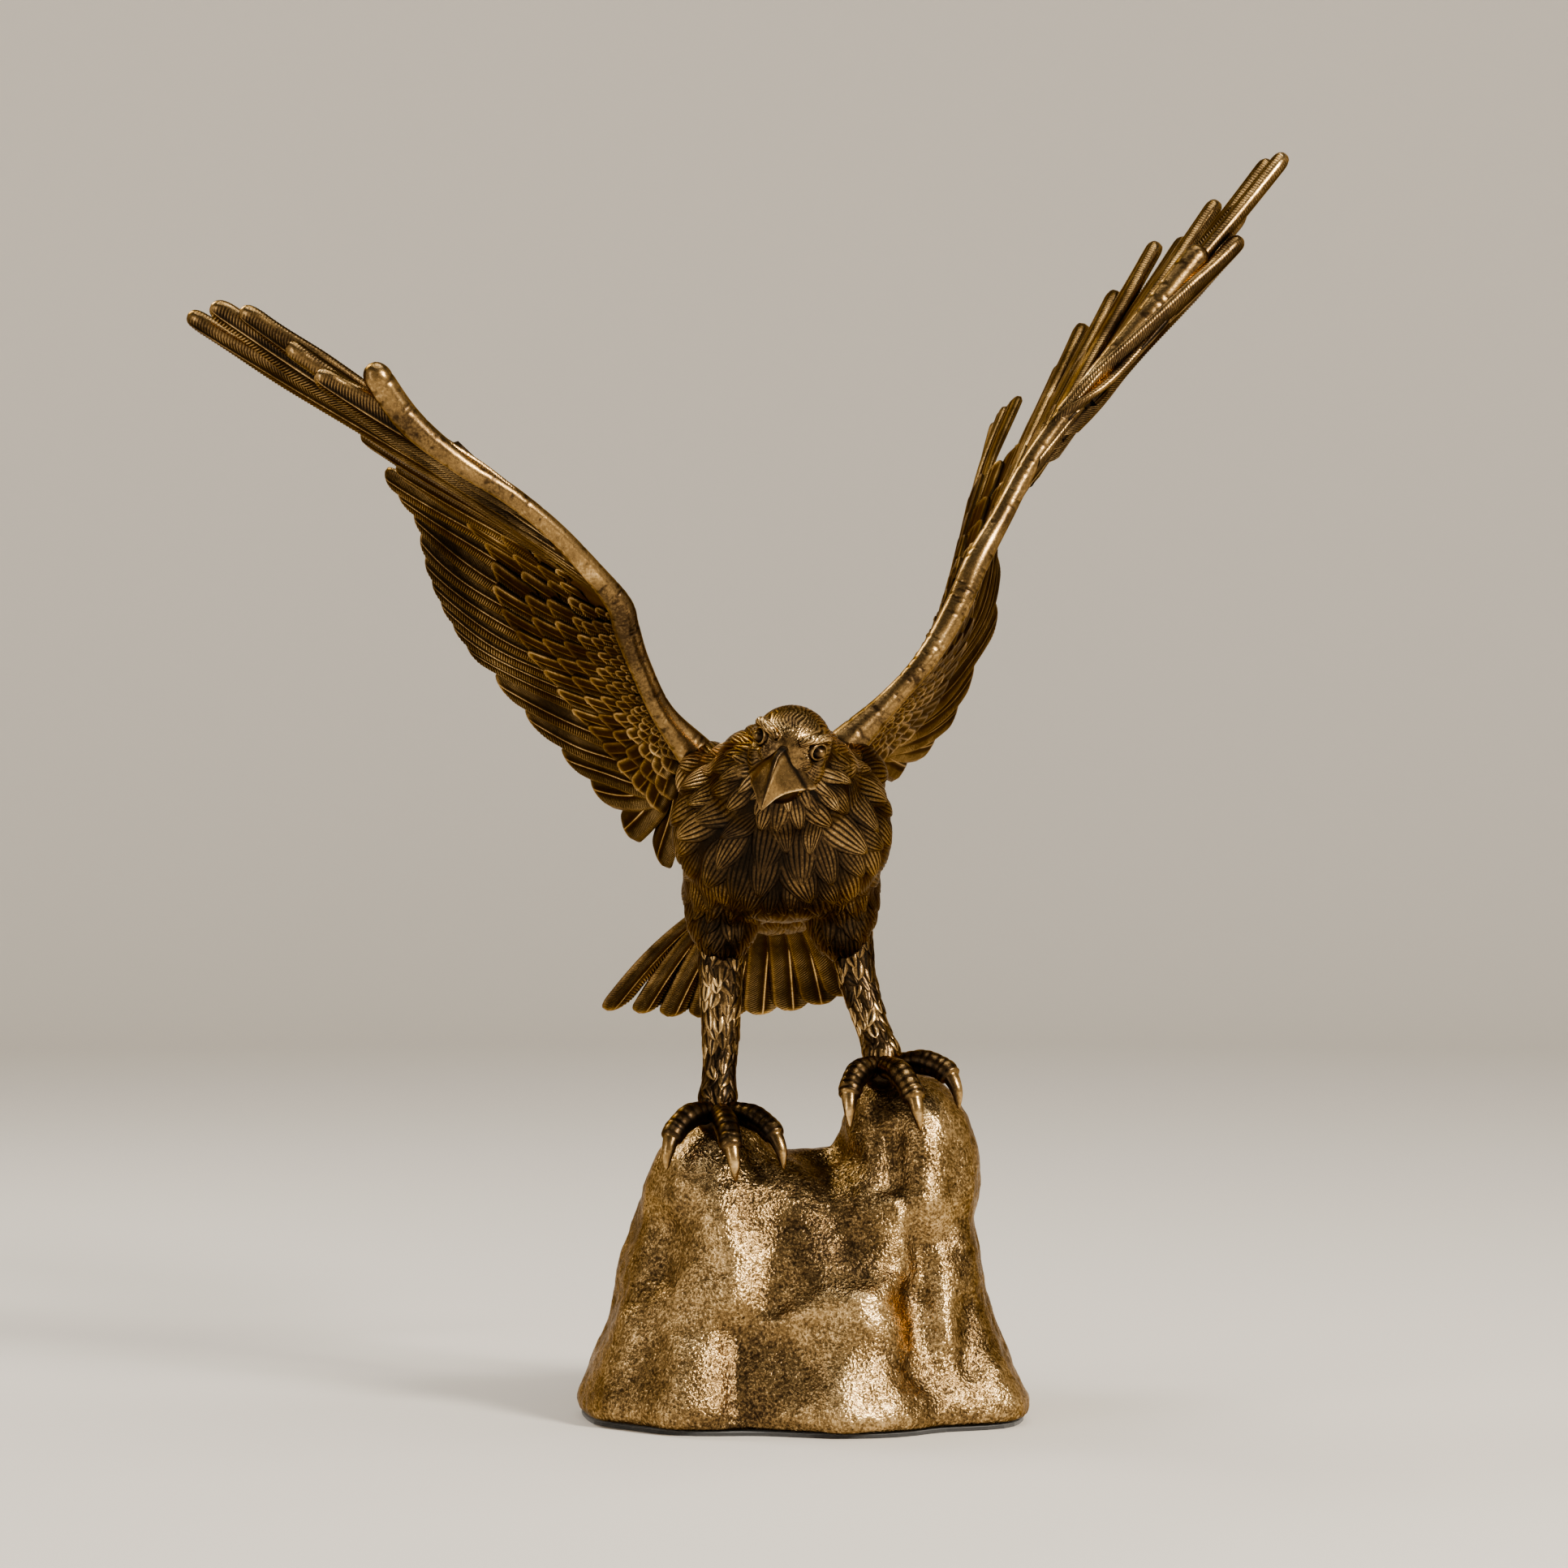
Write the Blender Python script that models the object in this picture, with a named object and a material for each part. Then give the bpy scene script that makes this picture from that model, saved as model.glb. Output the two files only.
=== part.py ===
"""Bronze eagle statuette: castings that bolt together. Metres, +Z up, origin under the rock's middle.

The eagle looks along -Y. Left and right are the eagle's own: its right wing is at -X.
"""

import math

import bmesh
import bpy
from mathutils import Matrix, Vector

# Driving dimensions
GAP = 0.0004  # clearance between castings that touch
FIT = 0.0003  # clearance round a fastener
WALL = 0.005  # wall of the rock casting
FELT = 0.0014  # felt pad under the rock
ROCK_BOTTOM = FELT + FIT
ROCK_CENTRE = Vector((0.0, 0.0))
COVER_THICKNESS = 0.0015
COVER_POST_HEIGHT = 0.014
COVER_SCREW_REACH = 0.010
STUD_RADIUS = 0.003
WASHER_RADIUS, WASHER_THICKNESS = 0.0062, 0.0012
NUT_RADIUS, NUT_HEIGHT = 0.0057, 0.005
TENON_RADIUS, TENON_LENGTH = 0.0055, 0.013
LEG_TENON_RADIUS, LEG_TENON_LENGTH = 0.0042, 0.016
TAIL_PLUG_RADIUS = 0.0065
GRUB_RADIUS = 0.002
PIN_RADIUS = 0.0012
FINE = 32  # sides of the larger round shapes
COARSE = 12  # sides of the small fasteners

BRONZE = ("antique_bronze", (0.36, 0.25, 0.12), 0.38, 1.0)
STEEL = ("zinc_steel", (0.55, 0.55, 0.56), 0.35, 1.0)
BLACK_STEEL = ("black_steel", (0.05, 0.05, 0.05), 0.5, 1.0)
BLACK_FELT = ("black_felt", (0.015, 0.015, 0.015), 0.95, 0.0)

# Horizontal slices of the rock's foot: height, centre x, centre y, half width, half depth
ROCK_SKIRT = [
    (ROCK_BOTTOM, 0.0000, 0.000, 0.0865, 0.0680),
    (0.0080, -0.0005, 0.000, 0.0870, 0.0690),
    (0.0200, -0.0010, 0.000, 0.0810, 0.0640),
    (0.0330, -0.0010, 0.001, 0.0755, 0.0590),
    (0.0450, -0.0012, 0.001, 0.0722, 0.0550),
    (0.0580, -0.0010, 0.002, 0.0695, 0.0515),
    (0.0700, 0.0003, 0.002, 0.0668, 0.0485),
    (0.0830, 0.0014, 0.003, 0.0652, 0.0450),
    (0.0920, 0.0030, 0.003, 0.0590, 0.0390),
    (0.0980, 0.0035, 0.003, 0.0500, 0.0310),
    (0.1015, 0.0040, 0.003, 0.0360, 0.0210),
]
ROCK_RIGHT_PEAK = [
    (0.0600, -0.0320, 0.000, 0.0270, 0.0330),
    (0.0850, -0.0340, -0.001, 0.0295, 0.0370),
    (0.0980, -0.0335, -0.002, 0.0245, 0.0300),
    (0.1070, -0.0335, -0.002, 0.0190, 0.0230),
    (0.1125, -0.0335, -0.002, 0.0125, 0.0150),
    (0.1145, -0.0335, -0.002, 0.0050, 0.0060),
]
ROCK_LEFT_PEAK = [
    (0.0600, 0.0340, 0.000, 0.0270, 0.0330),
    (0.0850, 0.0365, 0.000, 0.0310, 0.0390),
    (0.1020, 0.0385, 0.000, 0.0275, 0.0330),
    (0.1150, 0.0385, 0.000, 0.0245, 0.0280),
    (0.1240, 0.0365, 0.000, 0.0200, 0.0225),
    (0.1300, 0.0350, 0.000, 0.0130, 0.0150),
    (0.1325, 0.0345, 0.000, 0.0060, 0.0070),
]
# Folds down the rock: angle in degrees from the front, width in degrees, how far each stands out
ROCK_FOLDS = [
    (-62, 13, 0.0030),
    (-34, 12, 0.0045),
    (-12, 11, -0.0050),
    (16, 13, 0.0040),
    (38, 8, -0.0035),
    (58, 11, 0.0045),
    (88, 9, -0.0030),
    (118, 14, 0.0040),
    (150, 14, -0.0035),
    (-172, 14, 0.0035),
    (-140, 13, -0.0030),
    (-104, 13, 0.0035),
]

# Each wing: its leading edge from the shoulder to the front feather's tip, the tips of the flight feathers
# from the front one to the innermost, the way the hand's feathers spread, and where along the leading edge the
# wrist and the hand's end are
RIGHT_WING = {
    "lead": [
        (-0.042, -0.010, 0.254),
        (-0.055, -0.020, 0.270),
        (-0.0635, -0.030, 0.288),
        (-0.068, -0.038, 0.301),
        (-0.0705, -0.043, 0.310),
        (-0.079, -0.050, 0.321),
        (-0.094, -0.060, 0.337),
        (-0.110, -0.068, 0.350),
        (-0.129, -0.075, 0.362),
        (-0.1455, -0.081, 0.375),
        (-0.158, -0.088, 0.392),
    ],
    "tips": [
        (-0.158, -0.090, 0.397),
        (-0.180, -0.085, 0.396),
        (-0.191, -0.078, 0.407),
        (-0.209, -0.070, 0.421),
        (-0.221, -0.062, 0.423),
        (-0.231, -0.050, 0.421),
        (-0.218, -0.030, 0.414),
        (-0.202, -0.010, 0.405),
        (-0.186, 0.012, 0.394),
        (-0.172, 0.030, 0.382),
        (-0.159, 0.045, 0.370),
        (-0.165, 0.060, 0.367),
        (-0.154, 0.068, 0.351),
        (-0.150, 0.075, 0.333),
        (-0.144, 0.080, 0.317),
        (-0.134, 0.083, 0.300),
        (-0.122, 0.085, 0.286),
        (-0.110, 0.085, 0.272),
        (-0.095, 0.083, 0.256),
        (-0.083, 0.080, 0.243),
        (-0.070, 0.075, 0.226),
        (-0.056, 0.062, 0.214),
    ],
    "chord": (-0.33, 0.94, 0.09),
    "wrist": 0.40,
    "hand": 0.64,
}
LEFT_WING = {
    "lead": [
        (0.014, -0.004, 0.257),
        (0.032, 0.000, 0.275),
        (0.046, 0.004, 0.291),
        (0.058, 0.010, 0.311),
        (0.066, 0.014, 0.329),
        (0.076, 0.020, 0.347),
        (0.088, 0.026, 0.369),
        (0.104, 0.032, 0.391),
        (0.123, 0.038, 0.414),
        (0.141, 0.044, 0.435),
        (0.157, 0.050, 0.455),
    ],
    "tips": [
        (0.159, 0.050, 0.458),
        (0.171, 0.055, 0.461),
        (0.174, 0.062, 0.474),
        (0.190, 0.070, 0.496),
        (0.185, 0.082, 0.495),
        (0.165, 0.095, 0.480),
        (0.153, 0.104, 0.466),
        (0.142, 0.112, 0.465),
        (0.126, 0.125, 0.446),
        (0.113, 0.135, 0.433),
        (0.105, 0.142, 0.417),
        (0.086, 0.150, 0.404),
        (0.077, 0.155, 0.392),
        (0.074, 0.158, 0.363),
        (0.077, 0.158, 0.338),
        (0.077, 0.155, 0.316),
        (0.067, 0.148, 0.292),
        (0.060, 0.138, 0.276),
        (0.050, 0.125, 0.262),
        (0.038, 0.110, 0.252),
        (0.027, 0.090, 0.240),
    ],
    "chord": (-0.25, 0.96, -0.10),
    "wrist": 0.30,
    "hand": 0.64,
}
PRIMARIES = 11  # flight feathers that root on the hand; the rest root on the arm
LEAD_RADII = (0.0075, 0.0046, 0.0044, 0.0052, 0.0052, 0.0042, 0.0038, 0.0036, 0.0038, 0.0044, 0.0036)
FEATHER_WIDTH = 0.0075  # half width
FEATHER_HALF_THICKNESS = 0.0021

# Tail feathers fan from a root line to these tips, the eagle's right one first
TAIL_ROOT = Vector((-0.015, 0.070, 0.196))
TAIL_TIPS = [
    (-0.080, 0.125, 0.151),
    (-0.067, 0.140, 0.149),
    (-0.055, 0.149, 0.147),
    (-0.042, 0.156, 0.146),
    (-0.030, 0.160, 0.146),
    (-0.018, 0.161, 0.147),
    (-0.005, 0.159, 0.149),
    (0.007, 0.154, 0.152),
    (0.017, 0.146, 0.156),
]

# Each leg: thigh to ankle centreline with radii, then toes as knuckle chains ending in the claw's point
RIGHT_LEG = {
    "shank": [
        ((-0.0325, -0.004, 0.196), 0.0080),
        ((-0.0330, -0.004, 0.180), 0.0088),
        ((-0.0330, -0.005, 0.163), 0.0080),
        ((-0.0330, -0.007, 0.148), 0.0072),
        ((-0.0335, -0.010, 0.132), 0.0064),
        ((-0.0340, -0.013, 0.123), 0.0074),
        ((-0.0340, -0.014, 0.117), 0.0056),
    ],
    "toes": [
        [
            (-0.037, -0.018, 0.1175), (-0.044, -0.026, 0.1170), (-0.050, -0.034, 0.1115),
            (-0.0525, -0.0385, 0.1045), (-0.053, -0.038, 0.0975),
        ],
        [
            (-0.033, -0.020, 0.1170), (-0.031, -0.032, 0.1150), (-0.029, -0.041, 0.1085),
            (-0.0275, -0.045, 0.1010), (-0.027, -0.043, 0.0935),
        ],
        [
            (-0.030, -0.017, 0.1175), (-0.021, -0.024, 0.1165), (-0.014, -0.031, 0.1120),
            (-0.010, -0.0355, 0.1050), (-0.009, -0.035, 0.0975),
        ],
        [
            (-0.034, -0.006, 0.1170), (-0.035, 0.006, 0.1165), (-0.0355, 0.015, 0.1120),
            (-0.0355, 0.0205, 0.1050), (-0.035, 0.020, 0.0985),
        ],
    ],
}
LEFT_LEG = {
    "shank": [
        ((0.0160, 0.000, 0.198), 0.0080),
        ((0.0172, 0.000, 0.184), 0.0082),
        ((0.0190, -0.001, 0.170), 0.0074),
        ((0.0225, -0.004, 0.158), 0.0066),
        ((0.0262, -0.008, 0.147), 0.0062),
        ((0.0285, -0.011, 0.140), 0.0074),
        ((0.0290, -0.012, 0.135), 0.0056),
    ],
    "toes": [
        [
            (0.026, -0.016, 0.1350), (0.020, -0.023, 0.1335), (0.0165, -0.030, 0.1275),
            (0.0160, -0.0345, 0.1205), (0.0162, -0.034, 0.1130),
        ],
        [
            (0.030, -0.018, 0.1350), (0.035, -0.029, 0.1335), (0.0395, -0.037, 0.1265),
            (0.0415, -0.041, 0.1195), (0.0425, -0.039, 0.1125),
        ],
        [
            (0.034, -0.015, 0.1355), (0.044, -0.020, 0.1370), (0.0525, -0.026, 0.1340),
            (0.0565, -0.030, 0.1275), (0.0575, -0.030, 0.1200),
        ],
        [
            (0.030, -0.004, 0.1350), (0.030, 0.008, 0.1350), (0.0300, 0.017, 0.1305),
            (0.0300, 0.0225, 0.1235), (0.0300, 0.022, 0.1165),
        ],
    ],
}
TOE_RADII = (0.0050, 0.0050, 0.0050, 0.0040, 0.0008)

# Ellipsoids that make the body: centre, half sizes, pitch about X in degrees
BODY_BLOBS = [
    ((-0.0095, -0.006, 0.2260), (0.0390, 0.0560, 0.0350), -12),
    ((-0.0095, -0.030, 0.2270), (0.0410, 0.0360, 0.0360), 0),
    ((-0.0085, -0.050, 0.2430), (0.0275, 0.0290, 0.0240), 0),
    ((-0.0065, -0.073, 0.2550), (0.0162, 0.0195, 0.0158), 18),
    ((-0.0095, -0.089, 0.2520), (0.0090, 0.0120, 0.0085), 25),
    ((-0.0370, -0.010, 0.2480), (0.0130, 0.0220, 0.0140), 0),
    ((0.0180, -0.006, 0.2480), (0.0130, 0.0220, 0.0140), 0),
    ((-0.0320, -0.004, 0.2000), (0.0150, 0.0230, 0.0260), 0),
    ((0.0130, -0.001, 0.2010), (0.0145, 0.0230, 0.0260), 0),
    ((-0.0120, 0.034, 0.2140), (0.0325, 0.0480, 0.0280), -16),
]
BEAK = [
    ((-0.0105, -0.093, 0.2530), 0.0075),
    ((-0.0135, -0.106, 0.2490), 0.0050),
    ((-0.0155, -0.113, 0.2420), 0.0030),
    ((-0.0158, -0.1125, 0.2355), 0.0010),
]
BODY_CORE = ((-0.0095, 0.002, 0.2260), (0.0270, 0.0480, 0.0240), -12)


def spline(points, t):
    """A point on a Catmull-Rom curve through the points, t from 0 to 1."""
    last = len(points) - 1
    at = min(max(t, 0.0), 1.0) * last
    i = min(int(at), last - 1)
    f = at - i
    p1, p2 = Vector(points[i]), Vector(points[i + 1])
    p0 = Vector(points[i - 1]) if i else p1 * 2 - p2
    p3 = Vector(points[i + 2]) if i + 2 <= last else p2 * 2 - p1
    bend = (2 * p0 - 5 * p1 + 4 * p2 - p3) * f**2
    return 0.5 * (2 * p1 + (p2 - p0) * f + bend + (3 * (p1 - p2) + p3 - p0) * f**3)


def material(look):
    """A plain principled material, made once for each name."""
    name, colour, roughness, metallic = look
    made = bpy.data.materials.get(name)
    if made is None:
        made = bpy.data.materials.new(name)
        made.use_nodes = True
        shader = made.node_tree.nodes["Principled BSDF"]
        shader.inputs["Base Color"].default_value = (*colour, 1.0)
        shader.inputs["Roughness"].default_value = roughness
        shader.inputs["Metallic"].default_value = metallic
    return made


def add_object(name, bm, look=None):
    """Links a mesh object made from bm. With no look it is a cutter, which isn't part of the model."""
    bmesh.ops.recalc_face_normals(bm, faces=bm.faces)
    mesh = bpy.data.meshes.new(name)
    bm.to_mesh(mesh)
    bm.free()
    made = bpy.data.objects.new(name, mesh)
    bpy.context.scene.collection.objects.link(made)
    if look is None:
        made.hide_render = True
        made.display_type = "WIRE"
    else:
        mesh.materials.append(material(look))
        mesh.shade_smooth()
        mesh.set_sharp_from_angle(angle=math.radians(40))
    return made


def add_rings(bm, rings):
    """Closes a stack of rings, each with the same number of points, into one shell with flat ends."""
    rows = [[bm.verts.new(point) for point in ring] for ring in rings]
    count = len(rows[0])
    for low, high in zip(rows, rows[1:]):
        for i in range(count):
            j = (i + 1) % count
            bm.faces.new((low[i], low[j], high[j], high[i]))
    bm.faces.new(rows[0][::-1])
    bm.faces.new(rows[-1])


def add_tube(bm, path, radii, sides):
    """A closed tube along the path, round in section, with one radius for each point."""
    path = [Vector(point) for point in path]
    rings = []
    side = None
    for i, point in enumerate(path):
        along = (path[min(i + 1, len(path) - 1)] - path[max(i - 1, 0)]).normalized()
        if side is None:
            side = along.orthogonal().normalized()
        side = (side - along * side.dot(along)).normalized()
        up = along.cross(side)
        turns = [2 * math.pi * k / sides for k in range(sides)]
        rings.append([point + (side * math.cos(a) + up * math.sin(a)) * radii[i] for a in turns])
    add_rings(bm, rings)


def add_ellipsoid(bm, centre, half_sizes, pitch):
    turn = Matrix.Rotation(math.radians(pitch), 4, "X")
    place = Matrix.Translation(centre) @ turn @ Matrix.Diagonal((*half_sizes, 1.0))
    bmesh.ops.create_uvsphere(bm, u_segments=FINE, v_segments=FINE // 2, radius=1.0, matrix=place)


def cylinder(name, start, end, radius, look=None, sides=COARSE, end_radius=None):
    bm = bmesh.new()
    add_tube(bm, [start, end], [radius, end_radius or radius], sides)
    return add_object(name, bm, look)


def fuse(obj, voxel, smoothing, triangles_kept):
    """Melts overlapping shells into one cast skin, softens it and thins its triangles."""
    for size in (voxel, voxel * 0.9):
        remesh = obj.modifiers.new("melt", "REMESH")
        remesh.mode = "VOXEL"
        remesh.voxel_size = size
        soften = obj.modifiers.new("soften", "SMOOTH")
        soften.factor = 0.5
        soften.iterations = smoothing
    thin = obj.modifiers.new("thin", "DECIMATE")
    thin.ratio = triangles_kept


def boolean(obj, other, operation):
    step = obj.modifiers.new(other.name, "BOOLEAN")
    step.operation = operation
    step.object = other
    step.solver = "EXACT"


def grown_copy(obj, name):
    """A cutter with the shape of a casting, grown by the clearance between castings."""
    made = obj.copy()
    made.name = name
    bpy.context.scene.collection.objects.link(made)
    made.hide_render = True
    made.display_type = "WIRE"
    swell = made.modifiers.new("swell", "DISPLACE")
    swell.strength = GAP
    swell.mid_level = 0.0
    return made


def toward(start, end, length):
    """The point that far from start, on the line to end."""
    start, end = Vector(start), Vector(end)
    return start + (end - start).normalized() * length


# The rock


def fold_at(angle, share):
    """How far the rock's folds stand out at an angle in degrees, share of their full depth."""
    total = 0.0
    for centre, width, depth in ROCK_FOLDS:
        off = (angle - centre + 180) % 360 - 180
        total += depth * math.exp(-((off / width) ** 2))
    return total * share


def rock_ring(height, x, y, half_width, half_depth, share, inset=0.0):
    ring = []
    for k in range(2 * FINE):
        turn = math.pi * k / FINE
        angle = math.degrees(math.atan2(math.cos(turn), -math.sin(turn)))
        out = fold_at(angle, share) - inset
        across, along = math.cos(turn) * (half_width + out), math.sin(turn) * (half_depth + out)
        ring.append((x + across, y + along, height))
    return ring


def make_rock():
    bm = bmesh.new()
    top = ROCK_SKIRT[-1][0]
    for x, slices in ((0.0, ROCK_SKIRT), (-1.0, ROCK_RIGHT_PEAK), (1.0, ROCK_LEFT_PEAK)):
        depth = 1.0 if x == 0.0 else 0.35
        inset = [depth * min(1.0, 1.6 * (1.1 - one[0] / top) + 0.35) for one in slices]
        add_rings(bm, [rock_ring(*one, by) for one, by in zip(slices, inset)])
    rock = add_object("rock_base", bm, BRONZE)
    fuse(rock, 0.0024, 3, 0.026)

    bm = bmesh.new()
    roof = 0.080
    inner = [one for one in ROCK_SKIRT if one[0] < roof]
    rings = [rock_ring(*one, 0.5, inset=WALL) for one in inner]
    rings[0] = [(x, y, -WALL) for x, y, _ in rings[0]]
    last = inner[-1]
    rings.append(rock_ring(roof, *last[1:], 0.3, inset=WALL + 0.010))
    core = add_object("rock_core", bm_with_rings(bm, rings))
    boolean(rock, core, "DIFFERENCE")
    flatten = add_object("rock_foot_trim", box_mesh((-0.2, -0.2, -0.1), (0.2, 0.2, ROCK_BOTTOM)))
    boolean(rock, flatten, "DIFFERENCE")
    return rock


def bm_with_rings(bm, rings):
    add_rings(bm, rings)
    return bm


def box_mesh(low, high):
    bm = bmesh.new()
    middle = (Vector(low) + Vector(high)) / 2
    size = Vector(high) - Vector(low)
    bmesh.ops.create_cube(bm, size=1.0, matrix=Matrix.Translation(middle) @ Matrix.Diagonal((*size, 1.0)))
    return bm


def make_base_closure(rock):
    """Four posts cast inside the rock, a steel plate screwed to them, and the felt glued under it all."""
    plate_bottom = ROCK_BOTTOM
    plate_top = plate_bottom + COVER_THICKNESS
    post_bottom = plate_top + FIT
    slot = ROCK_SKIRT[0]
    bm = bmesh.new()
    outline = rock_ring(*slot, 0.4, inset=WALL + 0.001)
    add_rings(bm, [[(x, y, z) for x, y, _ in outline] for z in (plate_bottom, plate_top)])
    plate = add_object("base_cover_plate", bm, BLACK_STEEL)

    for number, turn in enumerate((40, 140, 220, 320), 1):
        a = math.radians(turn)
        x, y = math.cos(a) * (slot[3] - 0.0175), math.sin(a) * (slot[4] - 0.0150)
        post = cylinder(
            f"post_{number}",
            (x, y, post_bottom),
            (x, y, post_bottom + COVER_POST_HEIGHT),
            0.0050,
        )
        boolean(rock, post, "UNION")
        rib = cylinder(f"post_rib_{number}", (x, y, 0.0125), (x * 1.18, y * 1.18, 0.0125), 0.0035)
        boolean(rock, rib, "UNION")
        tap = cylinder(
            f"post_tap_{number}",
            (x, y, 0.0),
            (x, y, post_bottom + COVER_SCREW_REACH + FIT),
            0.0015 + FIT,
        )
        boolean(rock, tap, "DIFFERENCE")
        sink = countersunk(f"plate_hole_{number}", x, y, plate_bottom - 0.0005, FIT)
        boolean(plate, sink, "DIFFERENCE")
        countersunk(f"cover_screw_{number}", x, y, plate_bottom + 0.0001, 0.0, STEEL)

    bm = bmesh.new()
    outline = rock_ring(*slot, 0.9, inset=0.0012)
    add_rings(bm, [[(x, y, z) for x, y, _ in outline] for z in (0.0, FELT)])
    add_object("base_felt", bm, BLACK_FELT)


def countersunk(name, x, y, bottom, grown, look=None):
    """A countersunk screw standing head down, or the hole for it when grown."""
    top = ROCK_BOTTOM + COVER_THICKNESS + COVER_SCREW_REACH
    levels = [
        (bottom, 0.0028 + grown),
        (ROCK_BOTTOM + 0.0003, 0.0028 + grown),
        (ROCK_BOTTOM + COVER_THICKNESS - 0.0001 + grown, 0.0015 + grown),
        (top, 0.0015 + grown),
    ]
    bm = bmesh.new()
    add_tube(bm, [(x, y, z) for z, _ in levels], [r for _, r in levels], COARSE)
    return add_object(name, bm, look)


# The bird


def make_body():
    bm = bmesh.new()
    for blob in BODY_BLOBS:
        add_ellipsoid(bm, *blob)
    add_tube(bm, [p for p, _ in BEAK], [r for _, r in BEAK], COARSE)
    body = add_object("body", bm, BRONZE)
    fuse(body, 0.0016, 4, 0.022)
    return body


def wing_root(wing, k):
    """Where flight feather k leaves the wing's bones."""
    arm_feathers = len(wing["tips"]) - PRIMARIES
    if k < PRIMARIES:
        share = k / (PRIMARIES - 1)
        return spline(wing["lead"], wing["hand"] + (wing["wrist"] + 0.02 - wing["hand"]) * share)
    share = (k - PRIMARIES) / (arm_feathers - 1)
    return spline(wing["lead"], wing["wrist"] * (1 - share) + 0.03 * share)


def add_feather(bm, root, tip, across, half_width, half_thickness):
    """A flat blade from root to tip with a rounded end. Across is the direction of its width."""
    along = (tip - root).normalized()
    across = (across - along * across.dot(along)).normalized()
    up = along.cross(across)
    stations = ((0.0, 0.75), (0.35, 1.0), (0.90, 1.0), (0.96, 0.85), (0.99, 0.60), (1.0, 0.30))
    corners = ((1.0, 0.0), (0.55, 1.0), (-0.55, 1.0), (-1.0, 0.0), (-0.55, -1.0), (0.55, -1.0))
    rings = []
    for share, width in stations:
        middle = root.lerp(tip, share)
        flat = half_thickness * (0.6 + 0.4 * width)
        rings.append([middle + across * (a * half_width * width) + up * (b * flat) for a, b in corners])
    add_rings(bm, rings)


def make_wing(name, wing, body_cutter):
    bm = bmesh.new()
    steps = 24
    path = [spline(wing["lead"], i / steps) for i in range(steps + 1)]
    radii = [spline([(r, 0, 0) for r in LEAD_RADII], i / steps).x for i in range(steps + 1)]
    add_tube(bm, path, radii, COARSE)
    count = len(wing["tips"])
    for k in range(1, count):
        root, tip = wing_root(wing, k), Vector(wing["tips"][k])
        before = Vector(wing["tips"][k - 1])
        after = Vector(wing["tips"][min(k + 1, count - 1)])
        across = Vector(wing["chord"]) if k < PRIMARIES else (after - before).normalized()
        add_feather(bm, root, tip, across, FEATHER_WIDTH, FEATHER_HALF_THICKNESS)
        if k > 1:
            middle_root = (root + wing_root(wing, k - 1)) / 2
            web_end = middle_root.lerp((tip + before) / 2, 0.56 if k < PRIMARIES else 0.88)
            add_feather(bm, middle_root, web_end, across, FEATHER_WIDTH * 1.4, FEATHER_HALF_THICKNESS)
    made = add_object(name, bm, BRONZE)
    fuse(made, 0.0014, 3, 0.017)
    boolean(made, body_cutter, "DIFFERENCE")
    return made


def make_tail(body_cutter):
    bm = bmesh.new()
    count = len(TAIL_TIPS)
    for k, tip in enumerate(TAIL_TIPS):
        share = k / (count - 1) - 0.5
        root = TAIL_ROOT + Vector((share * 0.022, -0.012, 0.004))
        add_feather(bm, root, Vector(tip), Vector((1.0, 0.25, 0.0)), 0.0085, 0.0017)
    add_ellipsoid(bm, TAIL_ROOT + Vector((-0.002, 0.004, 0.0)), (0.016, 0.026, 0.007), -28)
    tail = add_object("tail_fan", bm, BRONZE)
    fuse(tail, 0.0014, 3, 0.022)
    boolean(tail, body_cutter, "DIFFERENCE")
    return tail


def make_leg(name, leg, cutters):
    bm = bmesh.new()
    add_tube(bm, [p for p, _ in leg["shank"]], [r for _, r in leg["shank"]], 16)
    for toe in leg["toes"]:
        add_tube(bm, [leg["shank"][-1][0], *toe], [0.0045, *TOE_RADII], COARSE)
    made = add_object(name, bm, BRONZE)
    fuse(made, 0.0009, 3, 0.018)
    for cutter in cutters:
        boolean(made, cutter, "DIFFERENCE")
    return made


def pin_wing(side, wing, body, made):
    """The wing's round tenon, its socket in the shoulder and the grub screw that locks it from below."""
    outer = spline(wing["lead"], 0.055)
    inner = outer + (Vector((-0.0095, 0.0, 0.243)) - outer).normalized() * (TENON_LENGTH + 0.006)
    tenon = cylinder(f"{side}_wing_tenon", outer, inner, TENON_RADIUS, sides=16)
    boolean(made, tenon, "UNION")
    socket = cylinder(
        f"{side}_wing_socket",
        toward(inner, outer, 0.040),
        toward(outer, inner, (inner - outer).length + FIT),
        TENON_RADIUS + FIT,
        sides=16,
    )
    boolean(body, socket, "DIFFERENCE")
    middle = outer.lerp(inner, 0.66)
    down = Vector((0.0, 0.55, -1.0)).normalized()
    down = (down - (inner - outer).normalized() * down.dot((inner - outer).normalized())).normalized()
    screw_top = middle + down * (TENON_RADIUS + 2 * FIT)
    screw_end = middle + down * (TENON_RADIUS + 0.006)
    bore = cylinder(
        f"{side}_grub_bore",
        middle + down * (TENON_RADIUS - 0.001),
        middle + down * 0.050,
        GRUB_RADIUS + FIT,
    )
    boolean(body, bore, "DIFFERENCE")
    cylinder(f"{side}_wing_grub_screw", screw_top, screw_end, GRUB_RADIUS, STEEL)


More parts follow.
